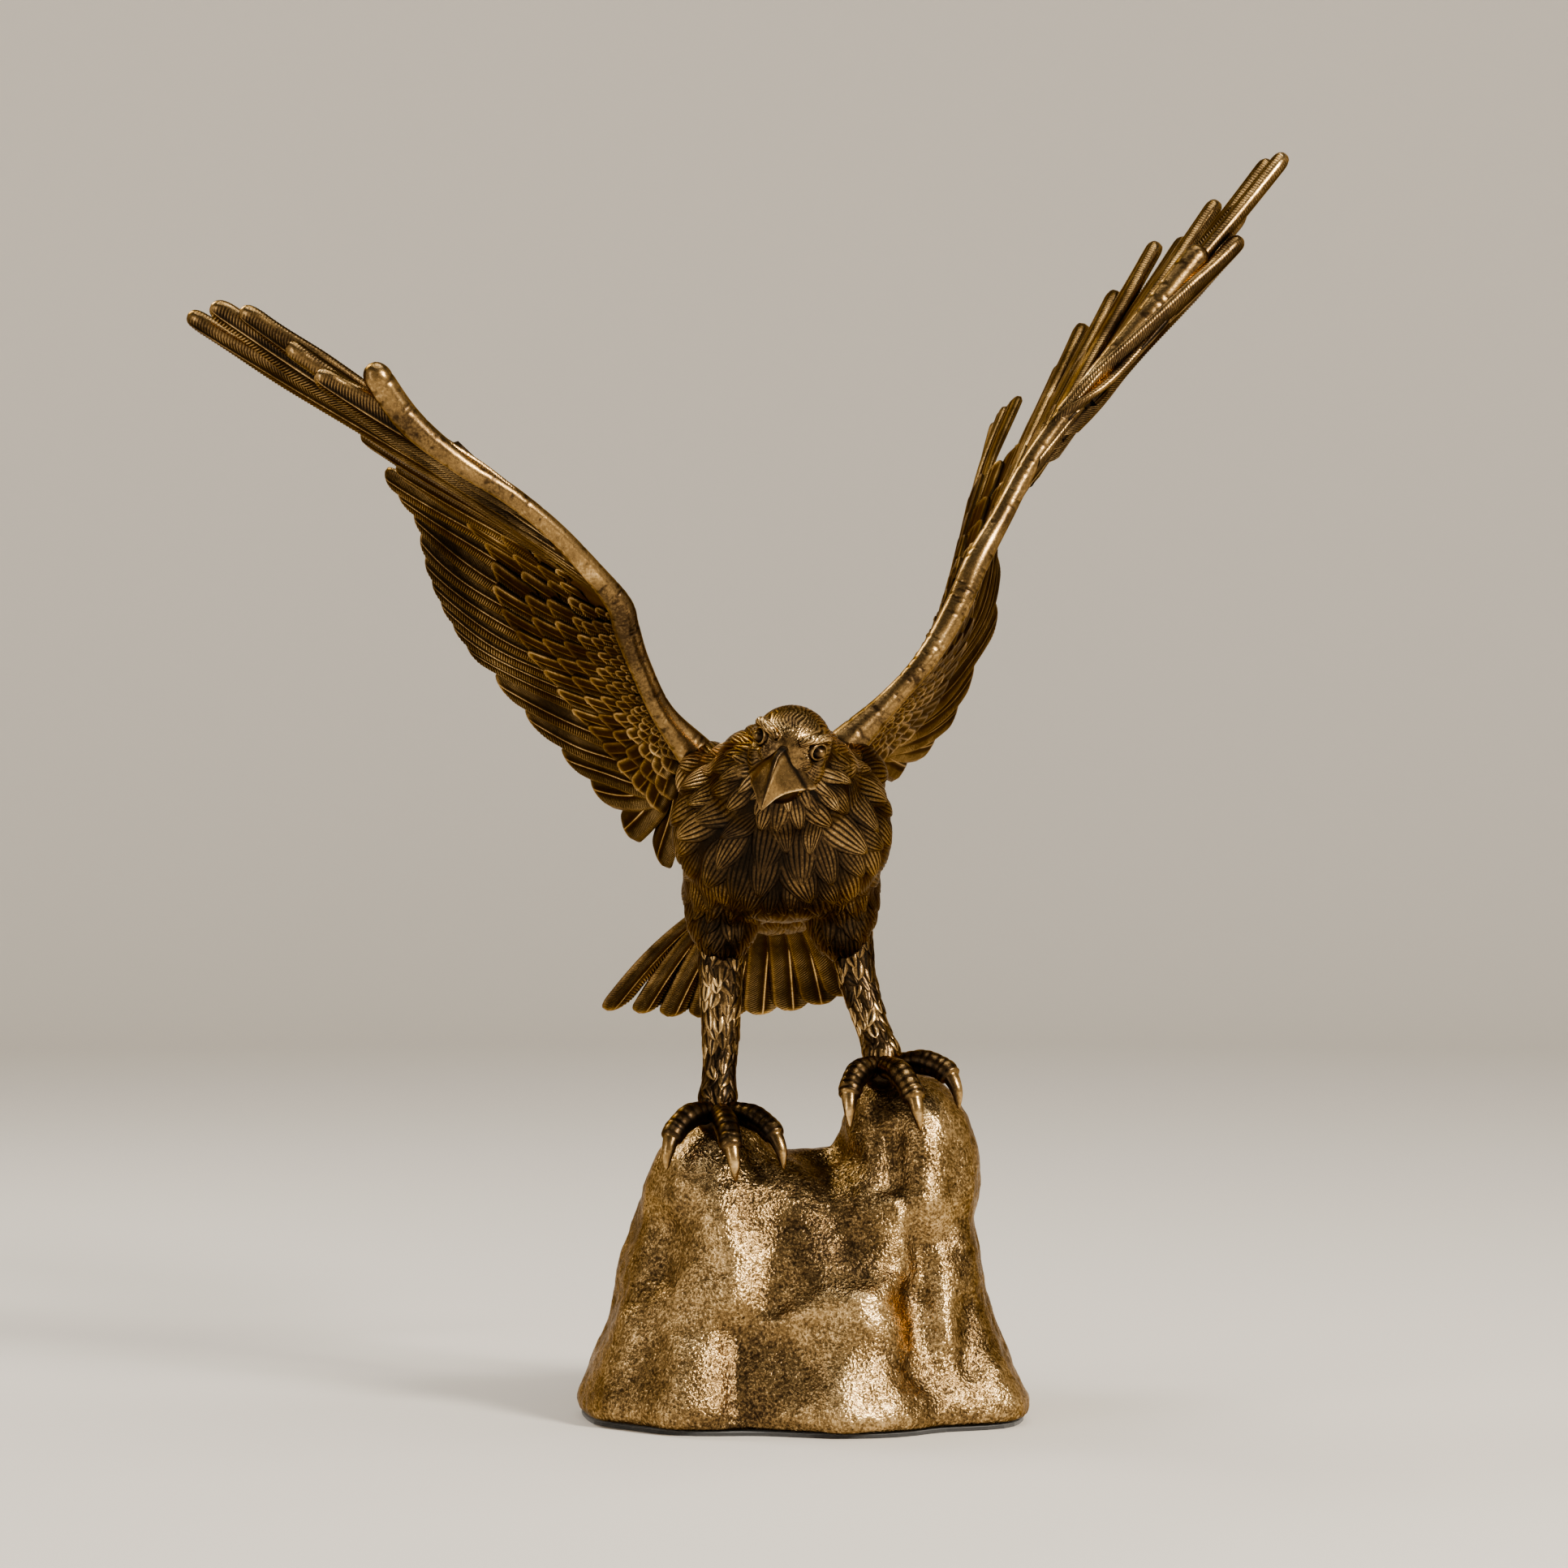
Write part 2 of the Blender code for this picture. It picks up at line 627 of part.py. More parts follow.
def pin_leg(side, leg, body, made):
    """The leg's tenon in the thigh, held by a cross pin."""
    foot, top = Vector(leg["shank"][1][0]), Vector(leg["shank"][0][0])
    end = toward(foot, top, LEG_TENON_LENGTH + 0.008)
    tenon = cylinder(f"{side}_leg_tenon", foot - (top - foot) * 0.5, end, LEG_TENON_RADIUS, sides=16)
    boolean(made, tenon, "UNION")
    socket = cylinder(
        f"{side}_leg_socket",
        foot - (top - foot),
        toward(foot, top, LEG_TENON_LENGTH + 0.008 + FIT),
        LEG_TENON_RADIUS + FIT,
        sides=16,
    )
    boolean(body, socket, "DIFFERENCE")
    middle = toward(foot, top, 0.015)
    bore = cylinder(
        f"{side}_leg_pin_bore",
        middle + Vector((0, -0.008, 0)),
        middle + Vector((0, 0.04, 0)),
        PIN_RADIUS + FIT,
    )
    boolean(body, bore, "DIFFERENCE")
    boolean(made, bore, "DIFFERENCE")
    cylinder(
        f"{side}_leg_pin",
        middle + Vector((0, -0.0075, 0)),
        middle + Vector((0, 0.016, 0)),
        PIN_RADIUS,
        STEEL,
    )


def bolt_foot(side, leg, rock, made, seat):
    """The stud from the foot down through the rock's peak, with its washer and nut inside the rock."""
    x, y, top = leg["shank"][-1][0]
    stud_top = top + 0.010
    washer_top = seat - FIT
    nut_top = washer_top - WASHER_THICKNESS - FIT
    stud_bottom = nut_top - NUT_HEIGHT - 0.003
    spot = cylinder(f"{side}_spot_face", (x, y, 0.03), (x, y, seat), WASHER_RADIUS + 0.0015, sides=24)
    hole = cylinder(f"{side}_stud_hole", (x, y, 0.03), (x, y, stud_top + FIT), STUD_RADIUS + FIT, sides=16)
    boolean(rock, spot, "DIFFERENCE")
    boolean(rock, hole, "DIFFERENCE")
    boolean(made, hole, "DIFFERENCE")
    cylinder(f"{side}_foot_stud", (x, y, stud_bottom), (x, y, stud_top), STUD_RADIUS, STEEL, sides=16)
    ring_part(f"{side}_foot_washer", x, y, washer_top - WASHER_THICKNESS, washer_top, WASHER_RADIUS, 24)
    ring_part(f"{side}_foot_nut", x, y, nut_top - NUT_HEIGHT, nut_top, NUT_RADIUS, 6)


def ring_part(name, x, y, low, high, radius, sides):
    made = cylinder(name, (x, y, low), (x, y, high), radius, STEEL, sides=sides)
    bore = cylinder(f"{name}_bore", (x, y, low - WALL), (x, y, high + WALL), STUD_RADIUS + FIT, sides=16)
    boolean(made, bore, "DIFFERENCE")


def main():
    for obj in list(bpy.data.objects):
        bpy.data.objects.remove(obj)

    rock = make_rock()
    rock_cutter = grown_copy(rock, "rock_clearance")
    make_base_closure(rock)

    body = make_body()
    body_cutter = grown_copy(body, "body_clearance")
    bm = bmesh.new()
    add_ellipsoid(bm, *BODY_CORE)
    core = add_object("body_core", bm)
    boolean(body, core, "DIFFERENCE")

    for side, wing in (("right", RIGHT_WING), ("left", LEFT_WING)):
        made = make_wing(f"{side}_wing", wing, body_cutter)
        pin_wing(side, wing, body, made)

    tail = make_tail(body_cutter)
    outer, inner = TAIL_ROOT + Vector((-0.001, 0.012, -0.004)), TAIL_ROOT + Vector((0.002, -0.034, 0.010))
    plug = cylinder("tail_plug", outer, inner, TAIL_PLUG_RADIUS, sides=20)
    boolean(tail, plug, "UNION")
    socket = cylinder(
        "tail_socket",
        toward(outer, inner, -0.015),
        toward(inner, outer, -0.012),
        TAIL_PLUG_RADIUS + FIT,
        sides=20,
    )
    boolean(body, socket, "DIFFERENCE")

    for side, leg, seat in (("right", RIGHT_LEG, 0.084), ("left", LEFT_LEG, 0.084)):
        made = make_leg(f"{side}_leg", leg, (body_cutter, rock_cutter))
        pin_leg(side, leg, body, made)
        bolt_foot(side, leg, rock, made, seat)


main()
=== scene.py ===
"""Looks of the bronze eagle statuette: feathers, scales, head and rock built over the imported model. Metres.

The eagle looks along -Y. Left and right are the eagle's own, so its right wing is at -X.
"""

import math

import bpy
import numpy as np
from mathutils import Matrix, Vector, noise
from mathutils.bvhtree import BVHTree


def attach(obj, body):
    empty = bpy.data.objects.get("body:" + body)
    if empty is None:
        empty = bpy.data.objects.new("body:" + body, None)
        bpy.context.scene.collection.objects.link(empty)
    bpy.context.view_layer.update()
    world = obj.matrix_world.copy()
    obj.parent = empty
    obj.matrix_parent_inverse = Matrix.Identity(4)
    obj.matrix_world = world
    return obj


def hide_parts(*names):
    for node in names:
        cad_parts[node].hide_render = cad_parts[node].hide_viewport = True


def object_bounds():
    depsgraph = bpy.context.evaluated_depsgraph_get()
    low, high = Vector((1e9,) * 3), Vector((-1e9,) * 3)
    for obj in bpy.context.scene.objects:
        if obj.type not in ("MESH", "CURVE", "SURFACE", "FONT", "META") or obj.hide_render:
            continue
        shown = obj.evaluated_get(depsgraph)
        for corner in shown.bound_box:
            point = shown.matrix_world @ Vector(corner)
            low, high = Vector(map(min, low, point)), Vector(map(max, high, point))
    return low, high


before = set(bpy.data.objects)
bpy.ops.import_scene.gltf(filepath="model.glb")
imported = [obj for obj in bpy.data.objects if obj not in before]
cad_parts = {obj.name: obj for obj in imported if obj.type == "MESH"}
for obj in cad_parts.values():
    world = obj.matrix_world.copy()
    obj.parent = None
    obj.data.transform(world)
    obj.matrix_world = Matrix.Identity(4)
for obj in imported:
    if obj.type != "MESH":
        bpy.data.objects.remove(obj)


def plain_bounds():
    return [[float(c) for c in corner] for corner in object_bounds()]


cad_bounds = plain_bounds()
rng = np.random.default_rng(7)
MM = 0.001

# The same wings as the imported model's: leading edge, tips of the flight feathers, spread of the hand
RIGHT_WING = {
    "lead": [
        (-42, -10, 254), (-55, -20, 270), (-63.5, -30, 288), (-68, -38, 301), (-70.5, -43, 310),
        (-79, -50, 321), (-94, -60, 337), (-110, -68, 350), (-129, -75, 362), (-147, -82, 377),
        (-161, -90, 397),
    ],
    "tips": [
        (-158, -90, 397), (-180, -85, 396), (-191, -78, 407), (-209, -70, 421), (-221, -62, 423),
        (-231, -50, 421), (-218, -30, 414), (-202, -10, 405), (-186, 12, 394), (-172, 30, 382),
        (-159, 45, 370), (-165, 60, 367), (-154, 68, 351), (-150, 75, 333), (-144, 80, 317),
        (-134, 83, 300), (-122, 85, 286), (-110, 85, 272), (-95, 83, 256), (-83, 80, 243),
        (-70, 75, 226), (-56, 62, 214),
    ],
    "wrist": 0.40, "hand": 0.64, "side": -1,
}
LEFT_WING = {
    "lead": [
        (14, -4, 257), (32, 0, 275), (46, 4, 291), (58, 10, 311), (66, 14, 329), (76, 20, 347),
        (88, 26, 369), (104, 32, 391), (123, 38, 414), (141, 44, 435), (157, 50, 455),
    ],
    "tips": [
        (159, 50, 458), (171, 55, 461), (174, 62, 474), (190, 70, 496), (185, 82, 495), (165, 95, 480),
        (153, 104, 466), (142, 112, 465), (126, 125, 446), (113, 135, 433), (105, 142, 417),
        (86, 150, 404), (77, 155, 392), (74, 158, 363), (77, 158, 338), (77, 155, 316), (67, 148, 292),
        (60, 138, 276), (50, 125, 262), (38, 110, 252), (27, 90, 240),
    ],
    "wrist": 0.30, "hand": 0.64, "side": 1,
}
PRIMARIES = 11
LEAD_RADII = (7.5, 4.6, 4.4, 5.0, 5.0, 4.2, 3.8, 3.8, 4.2, 5.2, 5.4)
# The rows of coverts: where each one starts and ends as shares of the chord, and a covert's width in mm
COVERT_ROWS = [
    (0.0, 0.055, 4.5), (0.03, 0.11, 5.5), (0.075, 0.17, 6.5), (0.13, 0.245, 7.5), (0.19, 0.345, 8.5),
    (0.27, 0.47, 9.2), (0.38, 0.64, 9.6),
]
BARB = 0.68 * MM  # half the distance between two barbs
EDGE_STEP = 0.62 * MM  # between two rings of the leading edge

TAIL_ROOT = np.array((-15.0, 66.0, 200.0))
TAIL_TIPS = [
    (-80, 125, 151), (-67, 140, 149), (-55, 149, 147), (-42, 156, 146), (-30, 160, 146), (-18, 161, 147),
    (-5, 159, 149), (7, 154, 152), (17, 146, 156),
]

BODY_BLOBS = [
    ((-9.5, -6, 226.0), (39.0, 56, 35.0), -12),
    ((-9.5, -30, 227.0), (41.0, 36, 36.0), 0),
    ((-8.5, -50, 243.0), (27.5, 29, 24.0), 0),
    ((-36.0, -10, 245.5), (13.0, 22, 12.5), 0),
    ((17.0, -6, 245.5), (13.0, 22, 12.5), 0),
    ((-32.0, -4, 200.0), (15.0, 23, 26.0), 0),
    ((13.0, -1, 201.0), (14.5, 23, 26.0), 0),
    ((-30.0, -15, 212.0), (17.0, 25, 24.0), 0),
    ((11.0, -13, 213.0), (16.0, 25, 24.0), 0),
    ((-12.0, 34, 214.0), (32.5, 48, 28.0), -16),
]
RIGHT_LEG = {
    "shank": [
        ((-32.5, -4, 196), 8.0), ((-33, -4, 180), 8.8), ((-33, -5, 163), 8.0), ((-33, -7, 148), 7.2),
        ((-33.5, -10, 132), 6.4), ((-34, -13, 123), 7.4), ((-34, -14, 117), 5.6),
    ],
    "toes": [
        [(-37, -18, 117.5), (-44, -26, 117), (-50, -34, 111.5), (-52.5, -38.5, 104.5), (-53, -38, 97.5)],
        [(-33, -20, 117), (-31, -32, 115), (-29, -41, 108.5), (-27.5, -45, 101), (-27, -43, 93.5)],
        [(-30, -17, 117.5), (-21, -24, 116.5), (-14, -31, 112), (-10, -35.5, 105), (-9, -35, 97.5)],
        [(-34, -6, 117), (-35, 6, 116.5), (-35.5, 15, 112), (-35.5, 20.5, 105), (-35, 20, 98.5)],
    ],
}
LEFT_LEG = {
    "shank": [
        ((16, 0, 198), 8.0), ((17.2, 0, 184), 8.2), ((19, -1, 170), 7.4), ((22.5, -4, 158), 6.6),
        ((26.2, -8, 147), 6.2), ((28.5, -11, 140), 7.4), ((29, -12, 135), 5.6),
    ],
    "toes": [
        [(26, -16, 135), (20, -23, 133.5), (16.5, -30, 127.5), (16, -34.5, 120.5), (16.2, -34, 113)],
        [(30, -18, 135), (35, -29, 133.5), (39.5, -37, 126.5), (41.5, -41, 119.5), (42.5, -39, 112.5)],
        [(34, -15, 135.5), (44, -20, 137), (52.5, -26, 134), (56.5, -30, 127.5), (57.5, -30, 120)],
        [(30, -4, 135), (30, 8, 135), (30, 17, 130.5), (30, 22.5, 123.5), (30, 22, 116.5)],
    ],
}
TOE_RADII = (5.0, 5.0, 5.0, 4.0, 0.8)

# The head: centre, then its turn to the eagle's right, nod and tilt in degrees
HEAD_CENTRE = np.array((-6.0, -76.0, 257.4))
HEAD_TURN, HEAD_NOD, HEAD_TILT = 9, 13, 16


def hand_over(piece, node=None):
    """Fix a bronze piece to the statuette's one body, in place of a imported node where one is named."""
    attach(piece, "root")
    if node:
        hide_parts(node)


def new_object(name, data):
    made = bpy.data.objects.new(name, data)
    bpy.context.scene.collection.objects.link(made)
    return made


def metres(millimetres):
    return np.array(millimetres, float) * MM


# Curves and surfaces in numpy


def curve(points, t):
    """Points on a Catmull-Rom curve through the points, t from 0 to 1."""
    p = np.asarray(points, float)
    last = len(p) - 1
    x = np.clip(np.asarray(t, float), 0, 1) * last
    i = np.minimum(x.astype(int), last - 1)
    f = (x - i)[..., None]
    ends = np.vstack([2 * p[0] - p[1], p, 2 * p[-1] - p[-2]])
    a, b, c, d = ends[i], ends[i + 1], ends[i + 2], ends[i + 3]
    return 0.5 * (2 * b + (c - a) * f + (2 * a - 5 * b + 4 * c - d) * f**2 + (3 * (b - c) + d - a) * f**3)


def unit(v):
    return v / np.maximum(np.linalg.norm(v, axis=-1, keepdims=True), 1e-12)


def smooth(x):
    x = np.clip(x, 0, 1)
    return x * x * (3 - 2 * x)


class Mesh:
    """Collects grids of points into one mesh. Relief is 0 in a recess and 1 on a rubbed ridge; in places it
    also holds painted shade and a painted highlight.
    """

    def __init__(self):
        self.points, self.faces, self.relief, self.count = [], [], [], 0

    def grid(self, points, relief, flip=False, wrap=False):
        rows, cols = points.shape[:2]
        index = np.arange(rows * cols).reshape(rows, cols) + self.count
        nxt = np.roll(index, -1, axis=1) if wrap else index[:, 1:]
        cur = index if wrap else index[:, :-1]
        quads = np.stack([cur[:-1], nxt[:-1], nxt[1:], cur[1:]], axis=-1).reshape(-1, 4)
        self.faces.append(quads[:, ::-1] if flip else quads)
        self.points.append(points.reshape(-1, 3))
        self.relief.append(np.broadcast_to(relief, (rows, cols)).reshape(-1))
        self.count += rows * cols

    def build(self, name, material, merge=2e-5):
        points = np.vstack(self.points)
        faces = np.vstack(self.faces)
        relief = np.concatenate(self.relief)
        cells = np.round(points / merge).astype(np.int64)
        _, first, index = np.unique(cells, axis=0, return_index=True, return_inverse=True)
        faces = index.reshape(-1)[faces]
        good = (faces[:, 0] != faces[:, 2]) & (faces[:, 1] != faces[:, 3])
        polygons = [list(dict.fromkeys(face)) for face in faces[good].tolist()]
        polygons = [p for p in polygons if len(p) > 2]
        return mesh_object(name, points[first], polygons, relief[first], material)


def mesh_object(name, points, polygons, relief, material):
    mesh = bpy.data.meshes.new(name)
    mesh.from_pydata(np.asarray(points).tolist(), [], polygons)
    worn = mesh.attributes.new("relief", "FLOAT", "POINT")
    worn.data.foreach_set("value", np.asarray(relief, np.float32))
    mesh.materials.append(material)
    mesh.shade_smooth()
    return new_object(name, mesh)


def melted(name, parts, voxel, smoothing):
    """One smooth skin round overlapping closed parts, as (points, polygons) with the modifiers applied."""
    points, faces, count = [], [], 0
    for part_points, part_faces in parts:
        points.append(np.asarray(part_points))
        faces += [[i + count for i in face] for face in part_faces]
        count += len(part_points)
    mesh = bpy.data.meshes.new(name)
    mesh.from_pydata(np.vstack(points).tolist(), [], faces)
    made = new_object(name, mesh)
    remesh = made.modifiers.new("melt", "REMESH")
    remesh.mode = "VOXEL"
    remesh.voxel_size = voxel
    soften = made.modifiers.new("soften", "SMOOTH")
    soften.factor = 0.5
    soften.iterations = smoothing
    done = bpy.data.meshes.new_from_object(made.evaluated_get(bpy.context.evaluated_depsgraph_get()))
    co = np.zeros(len(done.vertices) * 3)
    done.vertices.foreach_get("co", co)
    polygons = [list(p.vertices) for p in done.polygons]
    bpy.data.objects.remove(made)
    bpy.data.meshes.remove(done)
    return co.reshape(-1, 3), polygons


def closed_faces(ring_count, around):
    """The faces of a closed loft of rings, each with that many points around."""
    faces = []
    for r in range(ring_count - 1):
        for s in range(around):
            e = (s + 1) % around
            faces.append([r * around + s, r * around + e, (r + 1) * around + e, (r + 1) * around + s])
    faces.append(list(range(around))[::-1])
    faces.append([(ring_count - 1) * around + s for s in range(around)])
    return faces


def turns_of(count):
    return np.arange(count) * 2 * math.pi / count


def spokes(side, up, count):
    """For each point of a path, unit vectors all round it."""
    turns = turns_of(count)
    return side[:, None] * np.cos(turns)[:, None] + up[:, None] * np.sin(turns)[:, None]


def ball(centre, half_sizes, turn=None, segments=32):
    """A closed ellipsoid as points and faces. Turn is a 3 x 3 matrix."""
    rows = segments // 2
    lat = np.linspace(0, math.pi, rows + 1)[1:-1]
    lon = turns_of(segments)
    wide, high = np.sin(lat)[:, None], np.cos(lat)[:, None]
    ring = np.stack([wide * np.cos(lon), wide * np.sin(lon), high + 0 * lon], -1).reshape(-1, 3)
    points = np.vstack([ring, [[0, 0, 1], [0, 0, -1]]]) * np.asarray(half_sizes)
    if turn is not None:
        points = points @ np.asarray(turn).T
    faces = []
    for r in range(rows - 2):
        for s in range(segments):
            e = (s + 1) % segments
            below = (r + 1) * segments
            faces.append([r * segments + s, below + s, below + e, r * segments + e])
    top, bottom = len(ring), len(ring) + 1
    for s in range(segments):
        e = (s + 1) % segments
        faces.append([top, s, e])
        faces.append([bottom, (rows - 2) * segments + e, (rows - 2) * segments + s])
    return points + np.asarray(centre), faces


def tube_frames(path):
    """Unit side and up vectors that turn as little as possible along a path."""
    along = unit(np.gradient(path, axis=0))
    side = np.zeros_like(path)
    first = np.cross(along[0], (0.0, 0.0, 1.0))
    if np.linalg.norm(first) < 0.1:
        first = np.cross(along[0], (0.0, 1.0, 0.0))
    side[0] = unit(first)
    for i in range(1, len(path)):
        s = side[i - 1] - along[i] * np.dot(side[i - 1], along[i])
        side[i] = unit(s)
    return side, np.cross(along, side)


def tube_part(path, radii, sides=16):
    """A closed tube as points and faces."""
    path = np.asarray(path, float)
    rings = path[:, None] + spokes(*tube_frames(path), sides) * np.asarray(radii, float)[:, None, None]
    return rings.reshape(-1, 3), closed_faces(len(path), sides)


# Materials


class Look:
    """A new node material with its shader, and a way to add what it needs."""

    def __init__(self, name):
        self.material = bpy.data.materials.new(name)
        self.material.use_nodes = True
        self.nodes, self.links = self.material.node_tree.nodes, self.material.node_tree.links
        self.shader = self.nodes["Principled BSDF"]
        self.place = self.nodes.new("ShaderNodeTexCoord").outputs["Object"]

    def noise(self, scale, detail, roughness=0.5):
        made = self.nodes.new("ShaderNodeTexNoise")
        for socket, value in (("Scale", scale), ("Detail", detail), ("Roughness", roughness)):
            made.inputs[socket].default_value = value
        self.links.new(self.place, made.inputs["Vector"])
        return made.outputs["Fac"]

    def math(self, kind, a, b):
        made = self.nodes.new("ShaderNodeMath")
        made.operation = kind
        for socket, value in zip(made.inputs, (a, b)):
            if isinstance(value, (int, float)):
                socket.default_value = value
            else:
                self.links.new(value, socket)
        return made.outputs[0]

    def colour(self, source, stops):
        """Base colour from a value, through stops of (position, rgb)."""
        made = self.nodes.new("ShaderNodeValToRGB")
        ramp = made.color_ramp
        while len(ramp.elements) < len(stops):
            ramp.elements.new(0.5)
        for element, (at, rgb) in zip(ramp.elements, stops):
            element.position = at
            element.color = (*rgb, 1.0)
        self.links.new(source, made.inputs["Fac"])
        self.links.new(made.outputs["Color"], self.shader.inputs["Base Color"])

    def roughness(self, source, low, high):
        made = self.nodes.new("ShaderNodeMapRange")
        made.inputs["To Min"].default_value = low
        made.inputs["To Max"].default_value = high
        self.links.new(source, made.inputs["Value"])
        self.links.new(made.outputs["Result"], self.shader.inputs["Roughness"])

    def bump(self, source, distance):
        made = self.nodes.new("ShaderNodeBump")
        made.inputs["Strength"].default_value = 0.6
        made.inputs["Distance"].default_value = distance
        self.links.new(source, made.inputs["Height"])
        self.links.new(made.outputs["Normal"], self.shader.inputs["Normal"])


BRONZE_PATINA_AND_PAINTED_LIGHT = [  # from the patina in the recesses to the rubbed ridges; the dark end also serves as painted shade, the bright end as a painted highlight
    (0.0, (0.005, 0.004, 0.003)),
    (0.28, (0.014, 0.009, 0.005)),
    (0.52, (0.052, 0.030, 0.012)),
    (0.76, (0.250, 0.150, 0.052)),
    (1.0, (0.780, 0.530, 0.230)),
]


def antique_bronze(name, patches, speckle, pits, bright=1.0, grain=900.0):
    """Antique bronze: a dark patina left in the recesses, rubbed back to warm metal on the ridges, with
    painted shade and a painted highlight brought in by the relief attribute.
    """
    look = Look(name)
    relief = look.nodes.new("ShaderNodeAttribute")
    relief.attribute_name = "relief"
    large = look.math("MULTIPLY", look.math("SUBTRACT", look.noise(38.0, 3.0, 0.6), 0.5), 4 * patches)
    small = look.math("MULTIPLY", look.math("SUBTRACT", look.noise(grain, 4.0, 0.7), 0.5), 4 * speckle)
    tone = look.math("ADD", relief.outputs["Fac"], look.math("ADD", large, small))
    look.colour(tone, [(at, [c * bright for c in rgb]) for at, rgb in BRONZE_PATINA_AND_PAINTED_LIGHT])
    look.roughness(tone, 0.42, 0.20)
    look.shader.inputs["Metallic"].default_value = 1.0
    look.shader.inputs["Specular Tint"].default_value = (0.62, 0.50, 0.37, 1.0)
    look.bump(look.noise(grain, 2.0), pits * MM)
    return look.material


# Feathers of the wings and the tail

COVERT_COLUMNS = np.array([-1.0, -0.84, -0.50, -0.12, 0.0, 0.12, 0.55, 1.0])
COVERT_HEIGHT = np.array([0.0, 0.75, 0.42, 0.18, 0.55, 0.12, 0.35, 0.0])
COVERT_RELIEF = np.array([0.10, 0.86, 0.34, 0.10, 0.80, 0.06, 0.50, 0.05])
COVERT_BARBS = np.array([0.0, 0.1, 0.45, 0.20, 0.0, 0.40, 1.0, 0.5])


class Wing:
    """The wing as a fan: k counts flight feathers from the front, v is 0 at the bone and 1 at the tips."""

    def __init__(self, data):
        self.lead = metres(data["lead"])
        self.tips = metres(data["tips"])
        self.wrist, self.hand, self.side = data["wrist"], data["hand"], data["side"]
        self.last = len(self.tips) - 1

    def root(self, k):
        k = np.clip(k, 0, self.last)
        on_hand = self.hand + (self.wrist + 0.02 - self.hand) * k / (PRIMARIES - 1)
        on_arm = self.wrist + (0.03 - self.wrist) * (k - PRIMARIES) / (self.last - PRIMARIES)
        at_wrist = self.wrist + 0.02 * (PRIMARIES - k)
        share = np.where(k < PRIMARIES - 1, on_hand, np.where(k < PRIMARIES, at_wrist, on_arm))
        return curve(self.lead, share)

    def middle(self, k, v):
        v = np.asarray(v, float)[..., None]
        return self.root(k) * (1 - v) + curve(self.tips, np.asarray(k) / self.last) * v

    def frame(self, k, v):
        """Point, direction towards the tip, direction towards the body, and the upper side's normal."""
        step = 0.4
        low, high = np.clip(k - step, 0, self.last), np.clip(k + step, 0, self.last)
        point = self.middle(k, v)
        along = unit(self.middle(k, np.asarray(v) + 0.02) - self.middle(k, np.asarray(v) - 0.02))
        across = self.middle(high, v) - self.middle(low, v)
        across = unit(across - along * np.sum(across * along, -1, keepdims=True))
        normal = np.cross(along, across) * self.side
        return point, along, across, normal

    def bone(self, k, v):
        """Half the thickness of the wing under its feathers, less on the hand than on the arm."""
        hand = 0.20 + 0.80 * smooth((np.asarray(k) - 6) / 5)
        return MM * (1.1 + 2.0 * hand * np.clip(1 - np.asarray(v) / 0.75, 0, 1) ** 1.4)

    def slope(self, k):
        """How many feathers a feather's root lies nearer the body than its tip, for each unit of v."""
        return 4.0 * smooth((np.asarray(k) - 9.5) / 5) * smooth((self.last - np.asarray(k)) / 4)


def feather_steps(length, half_width, columns, pitch, slant=0.75):
    """Where a feather's grid points lie along it, as shares of its length, with the barbs' slant."""
    rows = max(6, int(length / pitch))
    s = np.linspace(0, 1, rows + 1)[:, None]
    t = s + slant * half_width / length * np.abs(columns)[None] * (1 - s) ** 0.7
    return np.clip(t, 0, 1), rows + 1


def outline(t, half_width, length, root_width=0.75):
    """Half the width of a round-tipped feather along its length."""
    round_from = 1 - 1.05 * half_width / length
    tip = np.sqrt(np.clip(1 - (np.clip(t - round_from, 0, 1) / (1 - round_from)) ** 2, 0, 1))
    return half_width * tip * (root_width + (1 - root_width) * smooth(t / 0.3))


def covert(mesh, wing, k, v0, v1, half_width, face, lift):
    """One covert on the upper (face 1) or under (face -1) side, from v0 to v1."""
    root_k = k + float(wing.slope(k)) * (v1 - v0)
    tip, root = wing.middle(np.array(k), np.array(v1)), wing.middle(np.array(root_k), np.array(v0))
    length = float(np.linalg.norm(tip - root))
    half_width = min(half_width, 0.46 * length)
    t, rows = feather_steps(length, half_width, COVERT_COLUMNS, BARB)
    point, _, across, normal = wing.frame(root_k + (k - root_k) * t, v0 + (v1 - v0) * t)
    width = outline(t, half_width, length)
    near_tip = smooth((t - (1 - 0.9 * half_width / length)) / (0.8 * half_width / length))
    rise = wing.bone(k, v0 + (v1 - v0) * t) + lift * (0.15 + 0.85 * smooth(t))
    alternate = np.where(np.arange(rows) % 2, 1.0, -1.0)[:, None]
    ridge = COVERT_HEIGHT * (1 - near_tip) + 0.62 * near_tip
    barbs = COVERT_BARBS * alternate * (1 - near_tip)
    height = rise + MM * (0.65 * ridge + 0.24 * barbs - 0.30 * COVERT_COLUMNS)
    relief = np.clip(COVERT_RELIEF * (1 - near_tip) + 0.80 * near_tip + 0.45 * barbs, 0, 1)
    # Darker towards the root: painted shade where the row above covers it; the random factor is each covert's
    # own tone.
    relief = relief * (0.35 + 0.65 * smooth(t / 0.6)) * rng.uniform(0.75, 1.0)
    points = point + across * (COVERT_COLUMNS * width)[..., None] + normal * (face * height)[..., None]
    drop = (normal * (face * 1.5 * MM))[:, [0, -1]]
    sides = points[:, [0, -1]] - drop
    points = np.concatenate([sides[:, :1], points, sides[:, 1:]], axis=1)
    skirt = np.full_like(relief[:, :1], 0.42)
    relief = np.concatenate([skirt, relief, skirt], axis=1)
    tip_drop = normal[-1:, :1] * (face * 2.0 * MM)
    points = np.concatenate([points, points[-1:] - tip_drop], axis=0)
    relief = np.concatenate([relief, 0.3 * relief[-1:]], axis=0)
    mesh.grid(points, relief, flip=(face * wing.side > 0))


